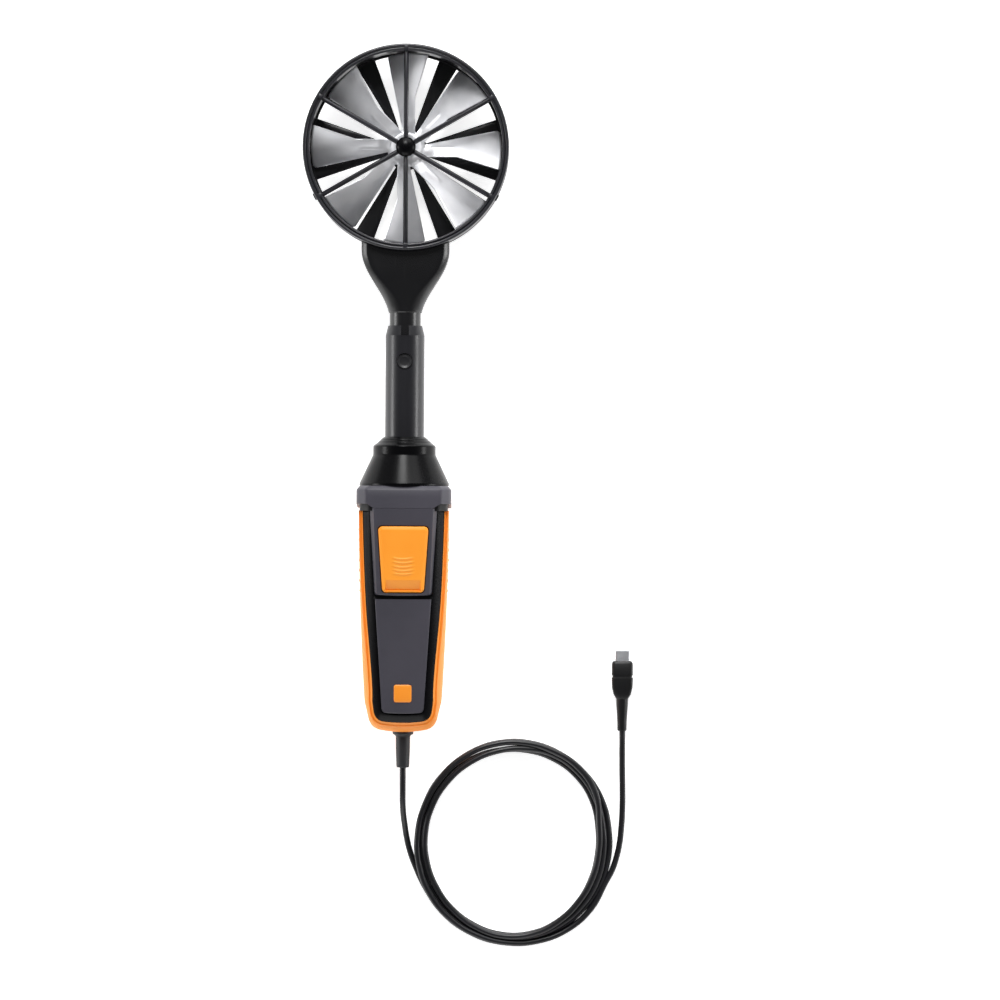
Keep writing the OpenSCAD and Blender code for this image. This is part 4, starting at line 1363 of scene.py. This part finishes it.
    def build_frame(self) -> None:
        """Builds the glossy frame between the cover and the panels."""
        rings = [self.frame_ring(-0.15, 1.4), self.frame_ring(0.0, 0.3), self.frame_ring(0.08, 0.16)]
        rings += [self.frame_ring(share, 0.15) for share in (0.25, 0.45, 0.65, 0.85)]
        rings += [self.frame_ring(0.95, 0.2), self.frame_ring(1.0, 0.5), self.frame_ring(1.0, 2.9)]
        rings += [self.frame_ring(1.0, 3.1, 0.3), self.frame_ring(1.0, 3.2, 4.0)]
        bm = loft(rings, around=False, caps=False)
        face_out(bm, lambda p: Vector((0.0, 0.0, 1.0)))
        piece(bm, "frame_gloss", Slot.GLOSS, ["front_shell"], crease=50, wall=1.2)
        # A dark bar deep in the gap below the step: it stands in for the front shell there, and it is placed so the gap
        # shows as a black band of painted shade.
        y = self.top_y - self.step_d
        wide = self.step_half + 1.5
        bar = block((-wide, y - 5.0, self.face(46) - 4.6), (wide, y + 1.5, self.face(46) - 3.3))
        piece(bar, "step_shade_bar", Slot.INNER, ["front_shell"])

    def panel_ring(self, upper: float, lower: float, ends: Point, reach: Point, bow: float) -> list[Point]:
        """Gives a closed outline with four rounded corners and a bowed lower edge.

        Args:
            upper: Half width at the upper end.
            lower: Half width at the lower end.
            ends: The two ends' distances.
            reach: Reach of the upper and the lower corners' rounding.
            bow: How much the lower edge bulges.

        Returns:
            The outline as x and distance.
        """
        first, last = ends
        line = rounded([(0, first, 0), (upper, first, reach[0]), (lower, last, reach[1]), (0, last, 0)], steps=6)
        dense: list[Point] = []
        for k, (a, b) in enumerate(zip(line, line[1:])):
            parts = 10 if k in (0, 7, 14) else 1
            dense += [(a[0] + (b[0] - a[0]) * n / parts, a[1] + (b[1] - a[1]) * n / parts) for n in range(parts)]
        dense.append(line[-1])
        right = [(x, d + bow * (1 - (x / upper) ** 2) * ((d - first) / (last - first)) ** 4) for x, d in dense]
        return right + [(-x, d) for x, d in reversed(right[1:-1])]

    def top_of_panel(self, x: float, d: float) -> float:
        """Gives the upper panel's crowned height."""
        return self.panel_top - self.panel_drop * d - 0.9 * (x / 19.2) ** 2

    def build_upper_panel(self) -> None:
        """Builds the raised panel round the button, with its bevelled sides."""
        first, last = 0.12, self.step_d
        base = self.panel_ring(self.panel_half - 0.1, self.step_half - 0.1, (first, last + 0.3), (0.05, 1.6), 0.7)
        crown = self.panel_ring(15.2, 13.4, (first, last), (0.05, 1.8), 0.7)
        flat = self.panel_ring(14.7, 12.9, (first + 0.1, last - 0.3), (0.05, 1.8), 0.7)
        b = self.button_at - self.button_gap
        end = self.button_at + self.button_len + self.button_gap
        w, v = self.button_w / 2 + self.button_gap, (self.button_w - self.button_taper) / 2 + self.button_gap
        near = self.panel_ring(w + 0.25, v + 0.25, (b - 0.25, end + 0.25), (2.7, 2.7), 0.0)
        hole = self.panel_ring(w, v, (b, end), (2.6, 2.6), 0.0)

        def lifted(outline: list[Point], height: Callable[[float, float], float]) -> Ring:
            """Puts an outline at its height."""
            return [Vector((x, self.top_y - d, height(x, d))) for x, d in outline]

        def deep(x: float, d: float) -> float:
            """Gives the panel's underside."""
            return self.face(d) - 3.1

        mid = [(a[0] * 0.12 + c[0] * 0.88, a[1] * 0.12 + c[1] * 0.88) for a, c in zip(base, crown)]
        rings = [
            lifted(base, deep),
            lifted(base, lambda x, d: self.face(d) - 2.5),
            lifted(mid, lambda x, d: self.top_of_panel(x, d) - 0.7),
            lifted(crown, lambda x, d: self.top_of_panel(x, d) - 0.22),
            lifted(flat, self.top_of_panel),
            lifted(near, self.top_of_panel),
            lifted(hole, lambda x, d: self.top_of_panel(x, d) - 0.25),
            lifted(hole, deep),
        ]
        bm = loft(rings + rings[:1], caps=False)
        piece(bm, "panel_upper", Slot.PANEL, ["front_panel"], crease=24)

    def build_lower_panel(self) -> None:
        """Builds the crowned lower panel below the step."""
        start = self.step_d + 2.6

        def line(inset: float, sink: float, scale: float = 1.0) -> Ring:
            """Gives one line of the lower panel.

            Args:
                inset: How far it is inside the outline.
                sink: How far it is behind the crown, or below zero for the underside.
                scale: Its width's share of the full width.

            Returns:
                The line's points.
            """

            def half(d: float) -> float:
                """Gives the line's half width."""
                return max(0.0, (self.panel_half_at(d) - 0.15 - inset) * scale)

            def height(x: float, d: float) -> float:
                """Gives the line's height."""
                if sink < 0:
                    return self.face(d) - 5.0
                return self.face(d) + 0.1 - 0.95 * abs(x / self.panel_half_at(d)) ** 2.4 - sink

            end = self.low_end - inset
            return self.trough(half, height, end if scale else end - 4, 2.4 * scale, 0.5 * scale, start)

        rings = [line(0.0, -1.0, 0.0), line(0.0, -1.0), line(0.0, 1.0), line(0.08, 0.3), line(0.35, 0.06)]
        rings += [line(0.8, 0.0)] + [line(0.8, 0.0, s) for s in (0.88, 0.72, 0.55, 0.38, 0.2)]
        rings.append(line(0.8, 0.0, 0.0))
        bm = loft(rings, around=False)
        piece(bm, "panel_lower", Slot.PANEL, ["front_panel"], crease=40)

    def button_height(self, x: float, d: float, edge: float) -> float:
        """Gives the button's height.

        Args:
            x: Across.
            d: Distance below the collar.
            edge: Distance from the button's outline.

        Returns:
            The height of its surface.
        """
        z = self.top_of_panel(x, d) + 1.1
        z -= 0.55 * (1 - smooth_step(0.0, 2.0, edge)) + 0.45 * max(0.0, 1 - edge / 0.45) ** 2
        for at in self.smiles:
            middle = at + 0.9 * (1 - (x / 5.8) ** 2) - 0.3
            z += 0.34 * math.exp(-(((d - middle) / 0.5) ** 2)) * (1 - smooth_step(3.6, 6.2, abs(x)))
        well = 1 - smooth_step(8.6, 9.2, abs(x))
        z -= 2.6 * well * min(1.0, max(0.0, (d - 36.5) / 5.4)) * (1 - 0.55 * smooth_step(41.7, 42.2, d))
        return z

    def build_button(self) -> None:
        """Builds the measuring button with its bevelled rim, smile-shaped ridges and lower scoop."""
        columns, rows = 104, 150
        r = self.button_r
        first, last = self.button_at, self.button_at + self.button_len

        def spot(i: int, j: int) -> Vector:
            """Gives one point of the button's top."""
            d = first + self.button_len * j / rows
            wide = (self.button_w - self.button_taper * (d - first) / self.button_len) / 2
            near = min(d - first, last - d)
            cut = r - math.sqrt(max(0.0, r * r - (r - near) ** 2)) if near < r else 0.0
            x = (wide - cut) * (2 * i / columns - 1)
            edge = min(near, wide - abs(x))
            if near < r and abs(x) > wide - r:
                edge = r - math.hypot(abs(x) - wide + r, r - near)
            return Vector((x, self.top_y - d, self.button_height(x, d, max(0.0, edge))))

        bm = grid(columns, rows, spot)
        rim = [e for e in bm.edges if e.is_boundary]
        made = bmesh.ops.extrude_edge_only(bm, edges=rim)["geom"]
        for v in (part for part in made if isinstance(part, bmesh.types.BMVert)):
            v.co.z = self.face(self.top_y - v.co.y) - 2.2
        bmesh.ops.holes_fill(bm, edges=[e for e in bm.edges if e.is_boundary], sides=0)
        bmesh.ops.recalc_face_normals(bm, faces=bm.faces)
        piece(bm, "button_ridged", Slot.BUTTON, ["measure_button"], Body.BUTTON, 50)

    def build_badge(self) -> None:
        """Builds the plain domed badge."""
        rings = []
        for inset, rise in ((0.0, -1.2), (0.0, 0.25), (0.12, 0.42), (0.45, 0.55), (1.4, 0.66), (2.6, 0.72)):
            half, at = self.badge_w / 2 - inset, self.badge_at
            line = rounded_box(half, half, 1.4, 5)
            rings.append([Vector((x, self.top_y - at + y, self.face(at - y) + rise)) for x, y in line])
        piece(loft(rings), "badge_plain", Slot.BADGE, ["badge"], crease=40)

    def build_relief(self) -> None:
        """Builds the strain relief: flange and slightly tapered sleeve."""
        n = self.relief_len
        line = [(1.45, -7.0, 0), (3.1, -7.0, 0), (3.1, -1.0, 0), (5.35, -1.0, 0.1), (5.35, 1.3, 0.5)]
        line += [(4.1, 1.7, 0.4), (3.7, 2.6, 0.3), (3.62, 9.0, 0.5), (3.3, n - 1.2, 0.4), (3.15, n, 0.5)]
        line += [(1.45, n, 0.2)]
        sleeve = spun(rounded(line, closed=True), closed=True, steps=64)
        at = self.top_y - self.length
        piece(along_y(sleeve, at, self.relief_z), "relief_sleeve", Slot.RELIEF, ["strain_relief"])

    def build(self) -> None:
        """Builds the whole grip."""
        self.build_cover()
        self.build_frame()
        self.build_upper_panel()
        self.build_lower_panel()
        self.build_button()
        self.build_badge()
        self.build_relief()


def main() -> None:
    """Builds the scene in order."""
    logging.basicConfig(level=logging.INFO, format="%(name)s %(message)s")
    Studio().build()
    Cable().build()
    VaneHead().build()
    Adapter().build()
    Grip().build()
    PAINT.dress_frame()


if __name__ == "__main__":
    main()
